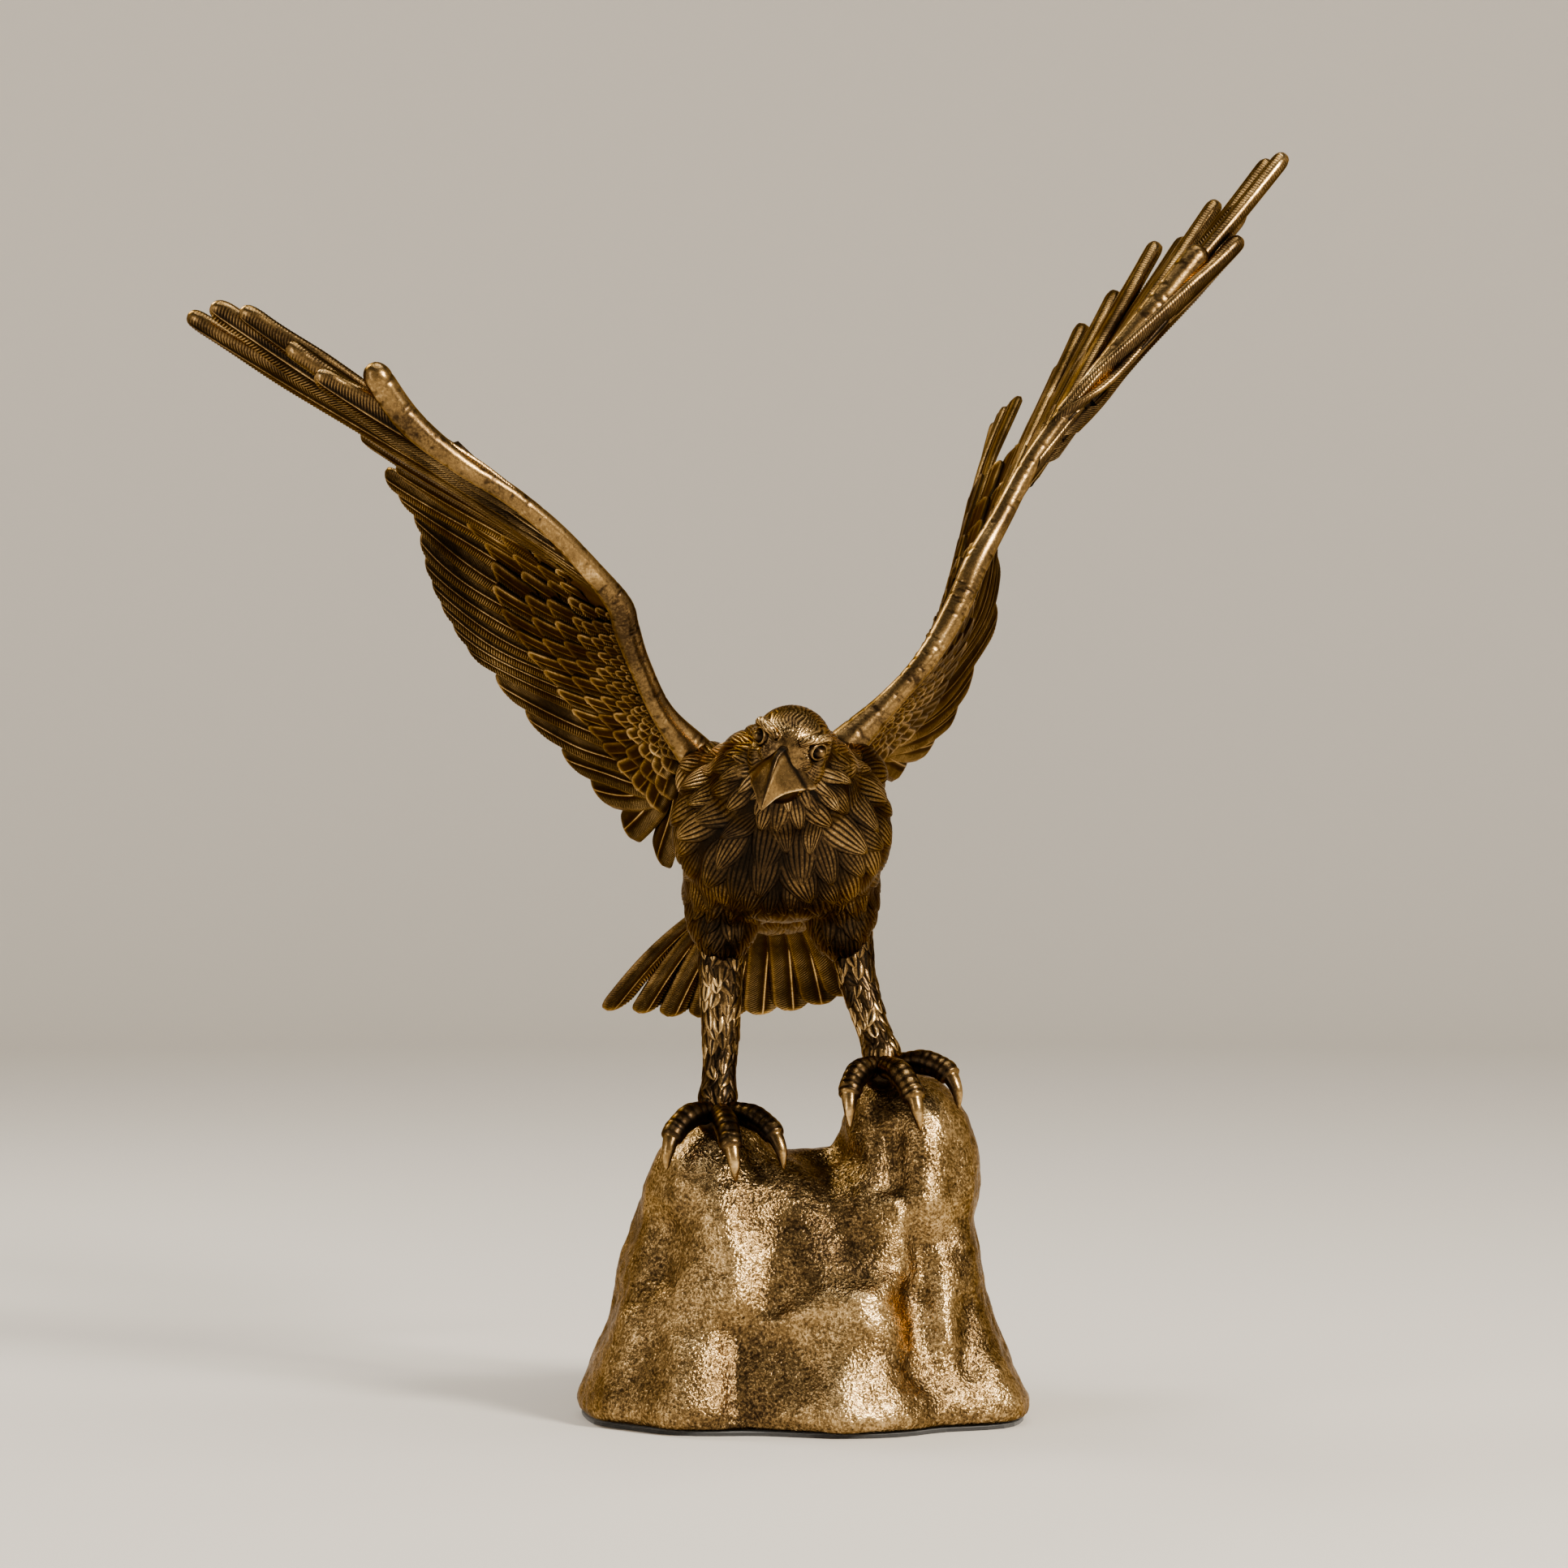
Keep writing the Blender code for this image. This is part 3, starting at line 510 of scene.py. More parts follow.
def add_coverts(wing, face, name, material):
    """All coverts on one side of a wing. The hand has no front rows, as its feathers reach the edge."""
    mesh = Mesh()
    for row, (v0, v1, width) in enumerate(COVERT_ROWS):
        ks = np.linspace(1.3, wing.last, 400)
        line = wing.middle(ks, np.full(ks.shape, v1))
        walked = np.concatenate([[0], np.cumsum(np.linalg.norm(np.diff(line, axis=0), axis=1))])
        count = int(walked[-1] / (width * MM))
        places = (np.arange(count) + (0.5 if row % 2 else 0.1)) * walked[-1] / count
        for place in places:
            k = float(np.interp(place, walked, ks))
            if k < PRIMARIES + 1 and v1 < 0.2:
                continue
            jitter = rng.uniform(-0.012, 0.012)
            lift = MM * rng.uniform(0.9, 1.3) * (1.0 if k > PRIMARIES + 2 else 0.4)
            root = v0 + 0.05 * (k < PRIMARIES)
            covert(mesh, wing, k, root, v1 + jitter, 0.62 * width * MM, face, lift)
    return mesh.build(name, material)


FLIGHT_TILT = 0.34 * 0.6  # how far each flight feather is turned over the next
FLIGHT_COLUMNS = np.array([-1.0, -0.80, -0.42, -0.09, 0.0, 0.09, 0.40, 0.72, 1.0])
FLIGHT_RIDGE = np.array([0.0, 0.30, 0.10, 0.0, 0.55, 0.0, 0.10, 0.12, 0.0])
FLIGHT_RELIEF = np.array([0.70, 0.52, 0.34, 0.08, 0.90, 0.06, 0.36, 0.42, 0.60])
FLIGHT_BARBS = np.array([0.0, 0.35, 0.8, 0.25, 0.0, 0.25, 1.0, 1.0, 0.0])


def flight_feather(mesh, place, half_width, half_thickness, barb, pitch=BARB, narrow=0.0, slant=1.35):
    """A long feather, sculpted on both sides. place(t) gives its middle, side and upper normal at t."""
    ends = place(np.linspace(0, 1, 20))[0]
    length = float(np.sum(np.linalg.norm(np.diff(ends, axis=0), axis=1)))
    t, rows = feather_steps(length, half_width, FLIGHT_COLUMNS, pitch, slant)
    width = outline(t, half_width, length, 0.7) * (1 - narrow * smooth((t - 0.72) / 0.20))
    near_tip = smooth((t - (1 - 0.7 * half_width / length)) / (0.65 * half_width / length))
    end = half_thickness / length
    round_end = np.sqrt(np.clip(1 - np.clip((t - 1 + end) / end, 0, 1) ** 2, 0, 1))
    alternate = np.where(np.arange(rows) % 2, 1.0, -1.0)[:, None]
    swell = half_thickness * (0.62 + 0.38 * smooth((t - 0.25) / 0.5))
    body = swell * np.sqrt(np.clip(1 - FLIGHT_COLUMNS**2 * 0.999, 0, 1)) ** 0.7
    cut = MM * (0.8 * FLIGHT_RIDGE + barb * FLIGHT_BARBS * alternate)
    height = (body + cut * (1 - near_tip)) * round_end
    height[:, [0, -1]] = 0
    worn = FLIGHT_RELIEF + 0.42 * FLIGHT_BARBS * alternate
    relief = np.clip(worn * (1 - near_tip) + 0.78 * near_tip, 0, 1)
    centre, side, up = place(t)
    flat = centre + side * (FLIGHT_COLUMNS * width)[..., None]
    mesh.grid(flat + up * height[..., None], relief)
    mesh.grid(flat - up * height[..., None], relief, flip=True)


def add_flight_feathers(wing, name, material):
    mesh = Mesh()
    outer = np.arange(PRIMARIES, wing.last - 5.9, 0.5)
    inner = np.arange(wing.last - 5, wing.last + 0.1, 1.0)
    for k in [*range(1, PRIMARIES), *outer, *inner]:
        hand = k < PRIMARIES
        half_width = MM * (8.4 if hand else 6.2 if k < wing.last - 5.5 else 8.2)
        start = 0.07 if hand else 0.42
        root_k = min(k + 1.2 * float(wing.slope(k)) * (1 - start), wing.last)

        def place(t, k=k, start=start, root_k=root_k):
            t = np.asarray(t, float)
            point, _, a, n = wing.frame(root_k + (k - root_k) * t**1.3, start + (1 - start) * t)
            middle = point - n * (MM * 2.2 * smooth(t) ** 2)[..., None]
            return middle, unit(a - n * FLIGHT_TILT), unit(n + a * FLIGHT_TILT)

        flight_feather(mesh, place, half_width, MM * (3.1 if hand else 1.7), 0.24, narrow=0.38 * hand)
    made = mesh.build(name, material)
    if wing.side < 0:
        made.data.flip_normals()
    return made


def add_wing_core(wing, name, material):
    """The web under the feathers and the bone along the leading edge."""
    mesh = Mesh()
    ks = np.linspace(0, wing.last, 70)[:, None]
    reach = 0.50 + 0.22 * smooth((ks - PRIMARIES - 1) / 4)
    vs = np.linspace(0, 1, 26)[None] ** 0.9
    v = vs * reach
    k = np.broadcast_to(ks, v.shape)
    point, _, _, normal = wing.frame(k, v)
    thick = wing.bone(k, v) * np.sqrt(np.clip(1.0001 - vs**10, 0, 1))
    thick[:, -1] = 0
    thick[[0, -1]] = 0
    mesh.grid(point + normal * thick[..., None], 0.30, flip=wing.side > 0)
    mesh.grid(point - normal * thick[..., None], 0.30, flip=wing.side < 0)
    core = mesh.build(name + "_web", material)

    steps = int(np.sum(np.linalg.norm(np.diff(wing.lead, axis=0), axis=1)) / EDGE_STEP)
    t = np.linspace(0, 1, steps)
    path = curve(wing.lead, t)
    radii = curve(np.array(LEAD_RADII)[:, None], t)[:, 0] * MM
    end = np.clip((1 - t) * steps * EDGE_STEP / (LEAD_RADII[-1] * MM), 0, 1)
    radii *= np.sqrt(np.clip(1 - (1 - end) ** 2, 0, 1))
    sides = 40
    out = spokes(*tube_frames(path), sides)
    # short cuts across the edge, each a few points wide and leaning a little
    nick = np.zeros((steps, sides))
    for _ in range(steps // 2):
        row, place, wide = rng.integers(0, steps - 1), rng.uniform(0, sides), rng.uniform(0.8, 3.0)
        off = np.abs((np.arange(sides) - place + sides / 2) % sides - sides / 2)
        first, last = max(row - 1, 0), min(row + 2, steps)
        lean = np.abs(np.arange(first, last)[:, None] - row - 0.12 * (off[None] - wide))
        cut = np.exp(-((off / wide) ** 2)) * np.exp(-(lean**2))
        nick[first:last] = np.maximum(nick[first:last], cut)
    size = radii[:, None] * (1 - 0.05 * nick)
    relief = 0.665 + 0.05 * rng.uniform(-1, 1, (steps, sides)) - 0.22 * nick
    bone = Mesh()
    bone.grid(path[:, None] + out * size[..., None], relief, wrap=True)
    edge = bone.build(name + "_edge", material)
    return core, edge


def dress_wing(name, wing, feathers, polished):
    pieces = [
        *add_wing_core(wing, name, polished),
        add_coverts(wing, -1, name + "_under_coverts", feathers),
        add_coverts(wing, 1, name + "_upper_coverts", feathers),
        add_flight_feathers(wing, name + "_flight_feathers", feathers),
    ]
    for piece in pieces:
        hand_over(piece, name if piece is pieces[0] else None)


def dress_tail(material):
    """The tail's fan of nine feathers, the outer ones under the middle ones."""
    mesh = Mesh()
    count = len(TAIL_TIPS)
    root = TAIL_ROOT * MM
    for i, tip in enumerate(metres(TAIL_TIPS)):
        share = i / (count - 1) - 0.5
        start = root + metres((share * 24, -6, 2))
        stack = 1.1 * MM * (abs(share) * 2 - 0.5)
        side = unit(np.array((1.0, 0.30 - share * 0.9, 0.0)))
        up = unit(np.cross(side, unit(tip - start)))
        up = up * np.sign(up[2])

        def place(t, start=start, tip=tip, side=side, up=up, stack=stack):
            t = np.asarray(t, float)
            along = t[..., None]
            arch = 0.0042 * np.sin(along * math.pi)
            middle = start * (1 - along) + tip * along + up * (arch - stack)
            turned = unit(side + up * 0.16), unit(up - side * 0.16)
            return middle, *[np.broadcast_to(v, (*t.shape, 3)) for v in turned]

        flight_feather(mesh, place, 8.8 * MM, 1.4 * MM, 0.40, pitch=0.95 * MM, slant=2.4)
    hand_over(mesh.build("tail_feathers", material), "tail_fan")


# A coat of overlapping leaf-shaped feathers on a smooth body


def leaf_columns(ridges):
    """Across a leaf-shaped feather: each point's place from -1 to 1, and 1 on a ridge or 0 in a groove."""
    places, ridge = [], []
    for i in range(ridges):
        places += [i, i + 0.27, i + 0.73]
        ridge += [0.0, 1.0, 1.0]
    return np.array([*places, ridges]) * 2 / ridges - 1, np.array([*ridge, 0.0])


def add_leaf(mesh, tree, point, normal, heading, half_width, length, lift, ridges, groove, rows, tone):
    """One pointed feather laid on the surface under it, its tip raised over the next ones."""
    columns, ridge = leaf_columns(ridges)
    side = unit(np.cross(normal, heading))
    s = np.linspace(0, 1, rows + 1)[:, None]
    shape = np.sin(np.clip(s * 0.93 + 0.07, 0, 1) ** 0.85 * math.pi) ** 0.75
    shape[-1] = 0
    lateral = columns[None] * shape * half_width
    longitudinal = (s - 0.45) * length + 0 * lateral
    inside = np.clip(1 - np.abs(columns)[None] ** 6, 0, 1)
    dome = (1 - np.abs(columns)[None] ** 2.4) * 0.10 * half_width * shape
    height = lift * smooth(s) ** 1.1 - 0.25 * MM + dome + groove * MM * (ridge - 0.7) * inside * shape**0.5
    height = np.where(np.abs(columns)[None] > 0.99, height - 0.35 * MM, height)
    # The factor rising from root to tip is painted shade where the feathers above cover this one's root; the
    # last factor is each feather's own tone.
    relief = (0.04 + 0.80 * ridge * inside + 0 * s) * (0.45 + 0.55 * smooth(s * 1.8)) * tone
    relief = np.where(s > 0.93, 0.80 * tone, relief)
    points = point + side * lateral[..., None] + heading * longitudinal[..., None]
    placed = np.empty_like(points)
    for i in np.ndindex(points.shape[:2]):
        near, near_normal, _, _ = tree.find_nearest(Vector(points[i]))
        placed[i] = np.array(near) + np.array(near_normal) * height[i]
    left, right = placed[:, :1] - normal * 1.4 * MM, placed[:, -1:] - normal * 1.4 * MM
    placed = np.concatenate([left, placed, right], axis=1)
    relief = np.concatenate([0 * relief[:, :1], relief, 0 * relief[:, -1:]], axis=1)
    placed = np.concatenate([placed, placed[-1:] - normal * 1.5 * MM], axis=0)
    relief = np.concatenate([relief, 0 * relief[-1:]], axis=0)
    mesh.grid(placed, relief, flip=True)


def scatter(points, polygons, spacing, keep):
    """Points spread over a surface, at least spacing(point) apart, with the surface's normals there."""
    faces = np.array([p if len(p) == 4 else [*p, p[-1]] for p in polygons])
    centre = points[faces].mean(axis=1)
    diagonals = points[faces[:, 2]] - points[faces[:, 0]], points[faces[:, 3]] - points[faces[:, 1]]
    normal = unit(np.cross(*diagonals))
    size = 6 * MM
    cells = {}
    chosen = []

    def crowded(p, key, gap):
        reach = range(-int(math.ceil(gap / size)), int(math.ceil(gap / size)) + 1)
        steps = ((dx, dy, dz) for dx in reach for dy in reach for dz in reach)
        near = (q for dx, dy, dz in steps for q in cells.get((key[0] + dx, key[1] + dy, key[2] + dz), ()))
        return any(np.sum((q - p) ** 2) < gap * gap for q in near)

    for f in rng.permutation(len(faces)):
        p = centre[f]
        key = tuple((p / size).astype(int))
        if keep(p, normal[f]) and not crowded(p, key, spacing(p)):
            cells.setdefault(key, []).append(p)
            chosen.append((p, normal[f]))
    return chosen


def tree_of(points, polygons):
    return BVHTree.FromPolygons([tuple(p) for p in points], polygons)


def head_matrix():
    turn = (
        Matrix.Rotation(math.radians(-HEAD_TURN), 3, "Z")
        @ Matrix.Rotation(math.radians(HEAD_NOD), 3, "X")
        @ Matrix.Rotation(math.radians(HEAD_TILT), 3, "Y")
    )
    return np.array(turn)


def on_head(points):
    """From the head's own frame (x to the eagle's left, y forwards, z up, mm) to the model's metres."""
    local = np.asarray(points, float) * np.array((1.0, -1.0, 1.0))
    return (local @ head_matrix().T + HEAD_CENTRE) * MM


EYES = np.array([(-12.2, 9.8, 2.6), (12.2, 9.8, 2.6)])
BEAK_ROOT = np.array((0.0, 13.0, -1.0))


def in_head(points):
    """From the model's metres to the head's own frame in mm."""
    return ((np.asarray(points) / MM - HEAD_CENTRE) @ head_matrix()) * np.array((1.0, -1.0, 1.0))


def make_body(material):
    parts = [
        ball(metres(c), metres(h), Matrix.Rotation(math.radians(pitch), 3, "X"))
        for c, h, pitch in BODY_BLOBS
    ]
    turn = head_matrix() @ np.diag((1.0, -1.0, 1.0))
    parts.append(ball(on_head((0, -1, 0)), metres((13.6, 16.0, 12.6)), turn))
    parts.append(ball(on_head((0, -12, -7)), metres((17.5, 18.0, 15.0)), turn))
    points, polygons = melted("body_skin", parts, 2.0 * MM, 3)
    tree = tree_of(points, polygons)
    hand_over(mesh_object("body_skin", points, polygons, np.full(len(points), 0.10), material), "body")

    def size_at(p):
        """Half width and length of the feathers at a point, in mm."""
        behind = float(np.linalg.norm(in_head(p)))
        big = smooth((behind - 17) / 20)
        y, z = p[1] / MM, p[2] / MM
        low = smooth((209 - z) / 12)
        back = smooth((y + 12) / 30)
        grown = big * (1 - 0.85 * low)
        return 2.5 + (4.0 - 1.2 * back) * grown, 11 + (11 - 2 * back) * grown

    def keep(p, n):
        local = in_head(p)
        return np.linalg.norm(local) > 17.5 and not (local[1] > 2 and local[2] > -10)

    def spacing(p):
        width, length = size_at(p)
        return math.sqrt(width * length) * 0.76 * MM

    beak_root = on_head(BEAK_ROOT)
    coat = Mesh()
    for p, n in scatter(points, polygons, spacing, keep):
        width, length = size_at(p)
        away = p - beak_root
        far = np.linalg.norm(away) / MM
        heading = unit(away) + np.array((0.0, 0.5, -0.25)) * smooth((far - 30) / 50)
        heading += rng.normal(0, 0.20, 3)
        heading = unit(heading - n * np.dot(heading, n))
        size = rng.uniform(0.78, 1.22)
        ridges = 3 if width < 3.2 else 5 if width < 4.8 else 7
        lift = MM * (0.45 + 0.20 * width) * rng.uniform(0.7, 1.2)
        half_width, long = width * 1.02 * size * MM, length * 1.25 * size * MM
        # Each feather a little lighter or darker at random, and the coat made darker towards the bottom of
        # the body.
        tone = rng.uniform(0.72, 1.05) * (0.66 + 0.34 * smooth((p[2] / MM - 205) / 45))
        add_leaf(coat, tree, p, n, heading, half_width, long, lift, ridges, 0.22 + 0.05 * width, 10, tone)
    hand_over(coat.build("body_feathers", material))


def make_head(material, polished):
    """The skull with brows and cheeks, its fine feathers cut as short grooves running back."""
    turn = head_matrix() @ np.diag((1.0, -1.0, 1.0))
    shapes = [
        ((0, -1, 1), (14.6, 17.0, 13.6)),
        ((0, -12, -7), (17.5, 17.0, 14.0)),
        ((0, 9, -3), (9.5, 7.5, 8.5)),
        ((8.4, 4.0, -6.0), (6.4, 8.0, 7.5)),
        ((-8.4, 4.0, -6.0), (6.4, 8.0, 7.5)),
        ((6.6, 10.5, -1.5), (3.8, 4.2, 5.0)),
        ((-6.6, 10.5, -1.5), (3.8, 4.2, 5.0)),
        ((0, 5, -13), (9.5, 10.0, 7.5)),
    ]
    parts = [ball(on_head(centre), metres(half), turn) for centre, half in shapes]
    for s in (-1, 1):
        brow = [(s * 4.0, 15.0, 5.0), (s * 8.0, 13.6, 7.4), (s * 11.8, 9.4, 8.0), (s * 13.0, 3.0, 6.2)]
        parts.append(tube_part(on_head(brow), metres((1.4, 2.0, 2.1, 2.0))))
    points, polygons = melted("head_skin", parts, 0.46 * MM, 5)
    local = in_head(points)
    to_eye = np.min([np.linalg.norm(local - eye, axis=1) for eye in EYES], axis=0)
    socket = smooth((6.0 - to_eye) / 4.0)
    inward = -unit(local)
    away = local - BEAK_ROOT
    reach = np.linalg.norm(away, axis=1)
    wobble = np.array([noise.noise(Vector(p * 0.16)) for p in local])
    angle = np.arctan2(away[:, 0], away[:, 2]) + 0.16 * wobble
    ring = reach / 4.6 + 0.8 * wobble + 0.35 * np.sin(angle * 9)
    phase = rng.random(40)[np.clip(ring.astype(int), 0, 39)] * math.pi
    wave = np.abs(np.sin(angle * 32 + phase))
    along = np.sin(np.clip(ring % 1.0, 0.02, 0.98) * math.pi) ** 0.35
    groove = np.exp(-((wave / 0.42) ** 2)) * along * smooth((reach - 5) / 4) * smooth((to_eye - 4.0) / 1.2)
    lids = np.exp(-(((to_eye - 5.6) / 0.9) ** 2)) * 0.25
    shift = 2.3 * socket - lids + 0.42 * groove
    local = local + inward * shift[:, None]
    brow_top = np.exp(-(((local[:, 2] - 8.4) / 2.0) ** 2)) * smooth((local[:, 1] - 2) / 6)
    relief = np.clip(0.68 + 0.26 * brow_top - 0.62 * groove - 0.5 * smooth((5.0 - to_eye) / 1.5), 0, 1)
    hand_over(mesh_object("head_skin", on_head(local), polygons, relief, material))
    add_beak(polished)
    add_eyes(polished)


def add_beak(material):
    """The hooked beak: a loft of cross-sections from the face to the point."""
    mesh = Mesh()
    # along the beak, in the head's frame: culmen (y, z), half width, and the cutting edge's z and y
    stations = [
        ((9.0, 4.6), 10.6, -10.4, 4.0),
        ((12.5, 3.4), 12.2, -10.8, 8.5),
        ((16.5, 2.2), 11.5, -11.2, 12.5),
        ((20.5, -0.6), 8.9, -12.0, 16.5),
        ((24.0, -4.8), 6.6, -13.2, 20.5),
        ((26.4, -9.8), 4.1, -15.0, 23.6),
        ((27.2, -14.4), 2.3, -17.2, 25.6),
        ((26.8, -17.8), 1.0, -19.0, 26.2),
        ((26.4, -19.6), 0.25, -19.9, 26.3),
    ]
    levels = np.linspace(0, 1, 76)
    top = curve([(0, y, z) for (y, z), _, _, _ in stations], levels)
    wide = curve([(w, 0, 0) for _, w, _, _ in stations], levels)[:, 0]
    low = curve([(0, y, z) for _, _, z, y in stations], levels)
    half = curve(
        [
            (0.0, -0.03, 0), (0.09, -0.02, 0), (0.15, 0.04, 0), (0.20, 0.12, 0), (0.36, 0.30, 0),
            (0.58, 0.52, 0), (0.80, 0.76, 0), (0.95, 0.92, 0), (1.0, 0.985, 0), (0.96, 1.03, 0),
            (0.80, 1.04, 0), (0.4, 1.0, 0), (0, 1.0, 0),
        ],
        np.linspace(0, 1, 34),
    )
    x = np.concatenate([half[:, 0], -half[-2:0:-1, 0]])
    d = np.concatenate([half[:, 1], half[-2:0:-1, 1]])
    points = top[:, None] * (1 - d[None, :, None]) + low[:, None] * d[None, :, None]
    cere = 1 + 0.045 * smooth((0.27 - levels) / 0.02)
    points[..., 0] = x[None] * (wide * cere)[:, None]
    side = np.sign(x)[None] * np.clip(1 - np.abs(np.abs(x) - 0.55) / 0.4, 0, 1)[None]
    near = [np.linalg.norm(points - np.array((sx * 6.2, 17.6, -2.6)), axis=-1) for sx in (-1, 1)]
    nostril = np.exp(-((np.min(near, axis=0) / 1.15) ** 2))
    points[..., 0] -= side * 1.3 * nostril
    points[..., 0] -= 0.32 * np.clip(points[..., 1] - 10, 0, 10.5) - 0.9
    ridge = np.exp(-((x / 0.16) ** 2)) * (d < 0.3)
    edge = np.exp(-(((d - 0.97) / 0.05) ** 2))
    # The stripe at x = 0.2, on the eagle's left side of the culmen, is a painted highlight.
    relief = np.clip(0.62 - 0.30 * ridge + 0.25 * edge + 0.25 * np.exp(-(((x - 0.2) / 0.06) ** 2)), 0, 1)
    seam = 0.5 * np.exp(-(((levels - 0.28) / 0.02) ** 2))[:, None]
    relief = np.clip(relief[None] - 0.6 * nostril - seam, 0, 1)
    mesh.grid(on_head(points), relief, wrap=True)
    tip = on_head(points[-1:].mean(axis=1, keepdims=True))
    cap = np.broadcast_to(tip, (1, points.shape[1], 3))
    mesh.grid(np.concatenate([on_head(points[-1:]), cap], 0), 0.8, wrap=True)
    beak = mesh.build("beak", material)

    jaw = tube_part(
        on_head([(0.5, 4, -12.2), (0, 10, -12.8), (-1.2, 15, -13.6), (-2.6, 19, -14.8), (-3.6, 22, -16.0)]),
        metres((8.5, 8.0, 6.2, 4.0, 1.2)),
        20,
    )
    jaw = mesh_object("lower_beak", jaw[0], jaw[1], np.full(len(jaw[0]), 0.30), material)
    for piece in (beak, jaw):
        hand_over(piece)


def add_eyes(material):
    for name, local in zip(("right", "left"), EYES):
        eye = on_head(local)
        out = unit(on_head(local + np.array((np.sign(local[0]) * 10, 7, -0.5))) - eye)
        mesh = Mesh()
        # from the middle outwards: radius from the axis and height, in mm, with the wear
        rings = [
            (0.0, 3.3, 0.62), (0.8, 3.2, 0.6), (1.7, 2.8, 0.5), (2.5, 1.9, 0.3), (3.0, 0.8, 0.05),
            (3.2, 0.5, 0.0), (3.5, 1.0, 0.6), (3.9, 1.0, 0.75), (4.4, 0.4, 0.5), (4.9, -0.4, 0.2),
            (5.3, -1.8, 0.05),
        ]
        side = unit(np.cross(out, (0.0, 0.0, 1.0)))
        up = np.cross(side, out)
        turns = turns_of(36)
        around = side * np.cos(turns)[:, None] + up * np.sin(turns)[:, None] * 0.80
        points = np.array([eye + around * r * MM + out * (h - 1.6) * MM for r, h, _ in rings])
        mesh.grid(points, np.array([w for _, _, w in rings])[:, None], wrap=True)
        hand_over(mesh.build(f"{name}_eye", material))


def make_leg(name, leg, material, polished):
    path = metres([p for p, _ in leg["shank"]])
    radii = metres([r for _, r in leg["shank"]])
    t = np.linspace(0, 1, 40)
    fine_path = curve(path, t)
    fine_radii = curve(radii[:, None], t)[:, 0]
    foot = ball(path[-1] - metres((0, 0, 2.0)), metres((8.2, 9.0, 7.5)))
    parts = [tube_part(fine_path, fine_radii, 24), foot]
    points, polygons = melted(name + "_skin", parts, 0.9 * MM, 3)
    tree = tree_of(points, polygons)
    hand_over(mesh_object(name + "_skin", points, polygons, np.full(len(points), 0.35), material), name)
    coat = Mesh()
    low = path[-1][2] + 3.5 * MM
    down = unit(path[-1] - path[0])
    for p, n in scatter(points, polygons, lambda q: 3.3 * MM, lambda q, m: q[2] > low):
        heading = down + rng.normal(0, 0.30, 3)
        heading = unit(heading - n * np.dot(heading, n))
        half_width, length = rng.uniform(2.2, 3.4) * MM, rng.uniform(7.0, 10.5) * MM
        tone = rng.uniform(0.45, 1.1)
        lift = rng.uniform(0.35, 0.75) * MM
        add_leaf(coat, tree, p, n, heading, half_width, length, lift, 2, 0.18, 8, tone)
    hand_over(coat.build(name + "_scales", material))

    toes = Mesh()
    hub = path[-1]
    claw_from = 0.66
    for toe in leg["toes"]:
        knuckles = np.vstack([hub, metres(toe)])
        length = np.sum(np.linalg.norm(np.diff(knuckles, axis=0), axis=1))
        steps = int(length / (0.38 * MM))
        t = np.linspace(0, 1, steps)
        line = curve(knuckles, t)
        radius = curve(np.array([4.2, *TOE_RADII])[:, None] * MM * 0.88, t)[:, 0]
        claw = smooth((t - claw_from) / 0.025)
        claw_radius = 3.1 * MM * np.clip((1 - t) / (1 - claw_from), 0, 1) ** 0.62 + 0.2 * MM
        radius = radius * (1 - claw) + claw_radius * claw
        turns = turns_of(24)
        outward = spokes(*tube_frames(line), 24)
        away = unit(line - (hub - metres((0, 0, 14))))
        top = np.clip(np.sum(outward * away[:, None], -1), 0, 1)
        uneven = rng.uniform(-0.5, 0.5, 40)
        phase = t * length / (2.6 * MM)
        phase = phase + 0.35 * np.interp(phase, np.arange(40), uneven)
        phase = phase[:, None] + 0.06 * np.sin(turns * 3)[None]
        scute = np.abs(np.sin(phase * math.pi)) ** 0.5
        plain = 1 - claw[:, None]
        knuckle = 0.10 * np.exp(-(((t - 0.42) / 0.07) ** 2)) + 0.05 * np.exp(-(((t - 0.60) / 0.03) ** 2))
        rings = plain * (0.10 * scute - 0.05) * (0.35 + 0.65 * top)
        size = radius[:, None] * (1 + knuckle[:, None] + rings)
        relief = plain * (0.18 + 0.60 * scute * (0.3 + 0.7 * top)) + (1 - plain) * (0.40 + 0.45 * top)
        toes.grid(line[:, None] + outward * size[..., None], relief, wrap=True)
    hand_over(toes.build(name + "_toes", polished))


# The rock

ROCK_SKIRT = [
    (1.7, 0.0, 0, 86.5, 68.0), (8, -0.5, 0, 87.0, 69.0), (20, -1.0, 0, 81.0, 64.0),
    (33, -1.0, 1, 75.5, 59.0), (45, -1.2, 1, 72.2, 55.0), (58, -1.0, 2, 69.5, 51.5),
    (70, 0.3, 2, 66.8, 48.5), (83, 1.4, 3, 65.2, 45.0), (92, 3.0, 3, 59.0, 39.0),
    (98, 3.5, 3, 50.0, 31.0), (101.5, 4.0, 3, 36.0, 21.0),
]
ROCK_RIGHT_PEAK = [
    (60, -32.0, 0, 27.0, 33.0), (85, -34.0, -1, 29.5, 37.0), (98, -33.5, -2, 24.5, 30.0),
    (107, -33.5, -2, 19.0, 23.0), (112.5, -33.5, -2, 12.5, 15.0), (114.5, -33.5, -2, 5.0, 6.0),
]
ROCK_LEFT_PEAK = [
    (60, 34.0, 0, 27.0, 33.0), (85, 36.5, 0, 31.0, 39.0), (102, 38.5, 0, 27.5, 33.0),
    (115, 38.5, 0, 24.5, 28.0), (124, 36.5, 0, 20.0, 22.5), (130, 35.0, 0, 13.0, 15.0),
    (132.5, 34.5, 0, 6.0, 7.0),
]
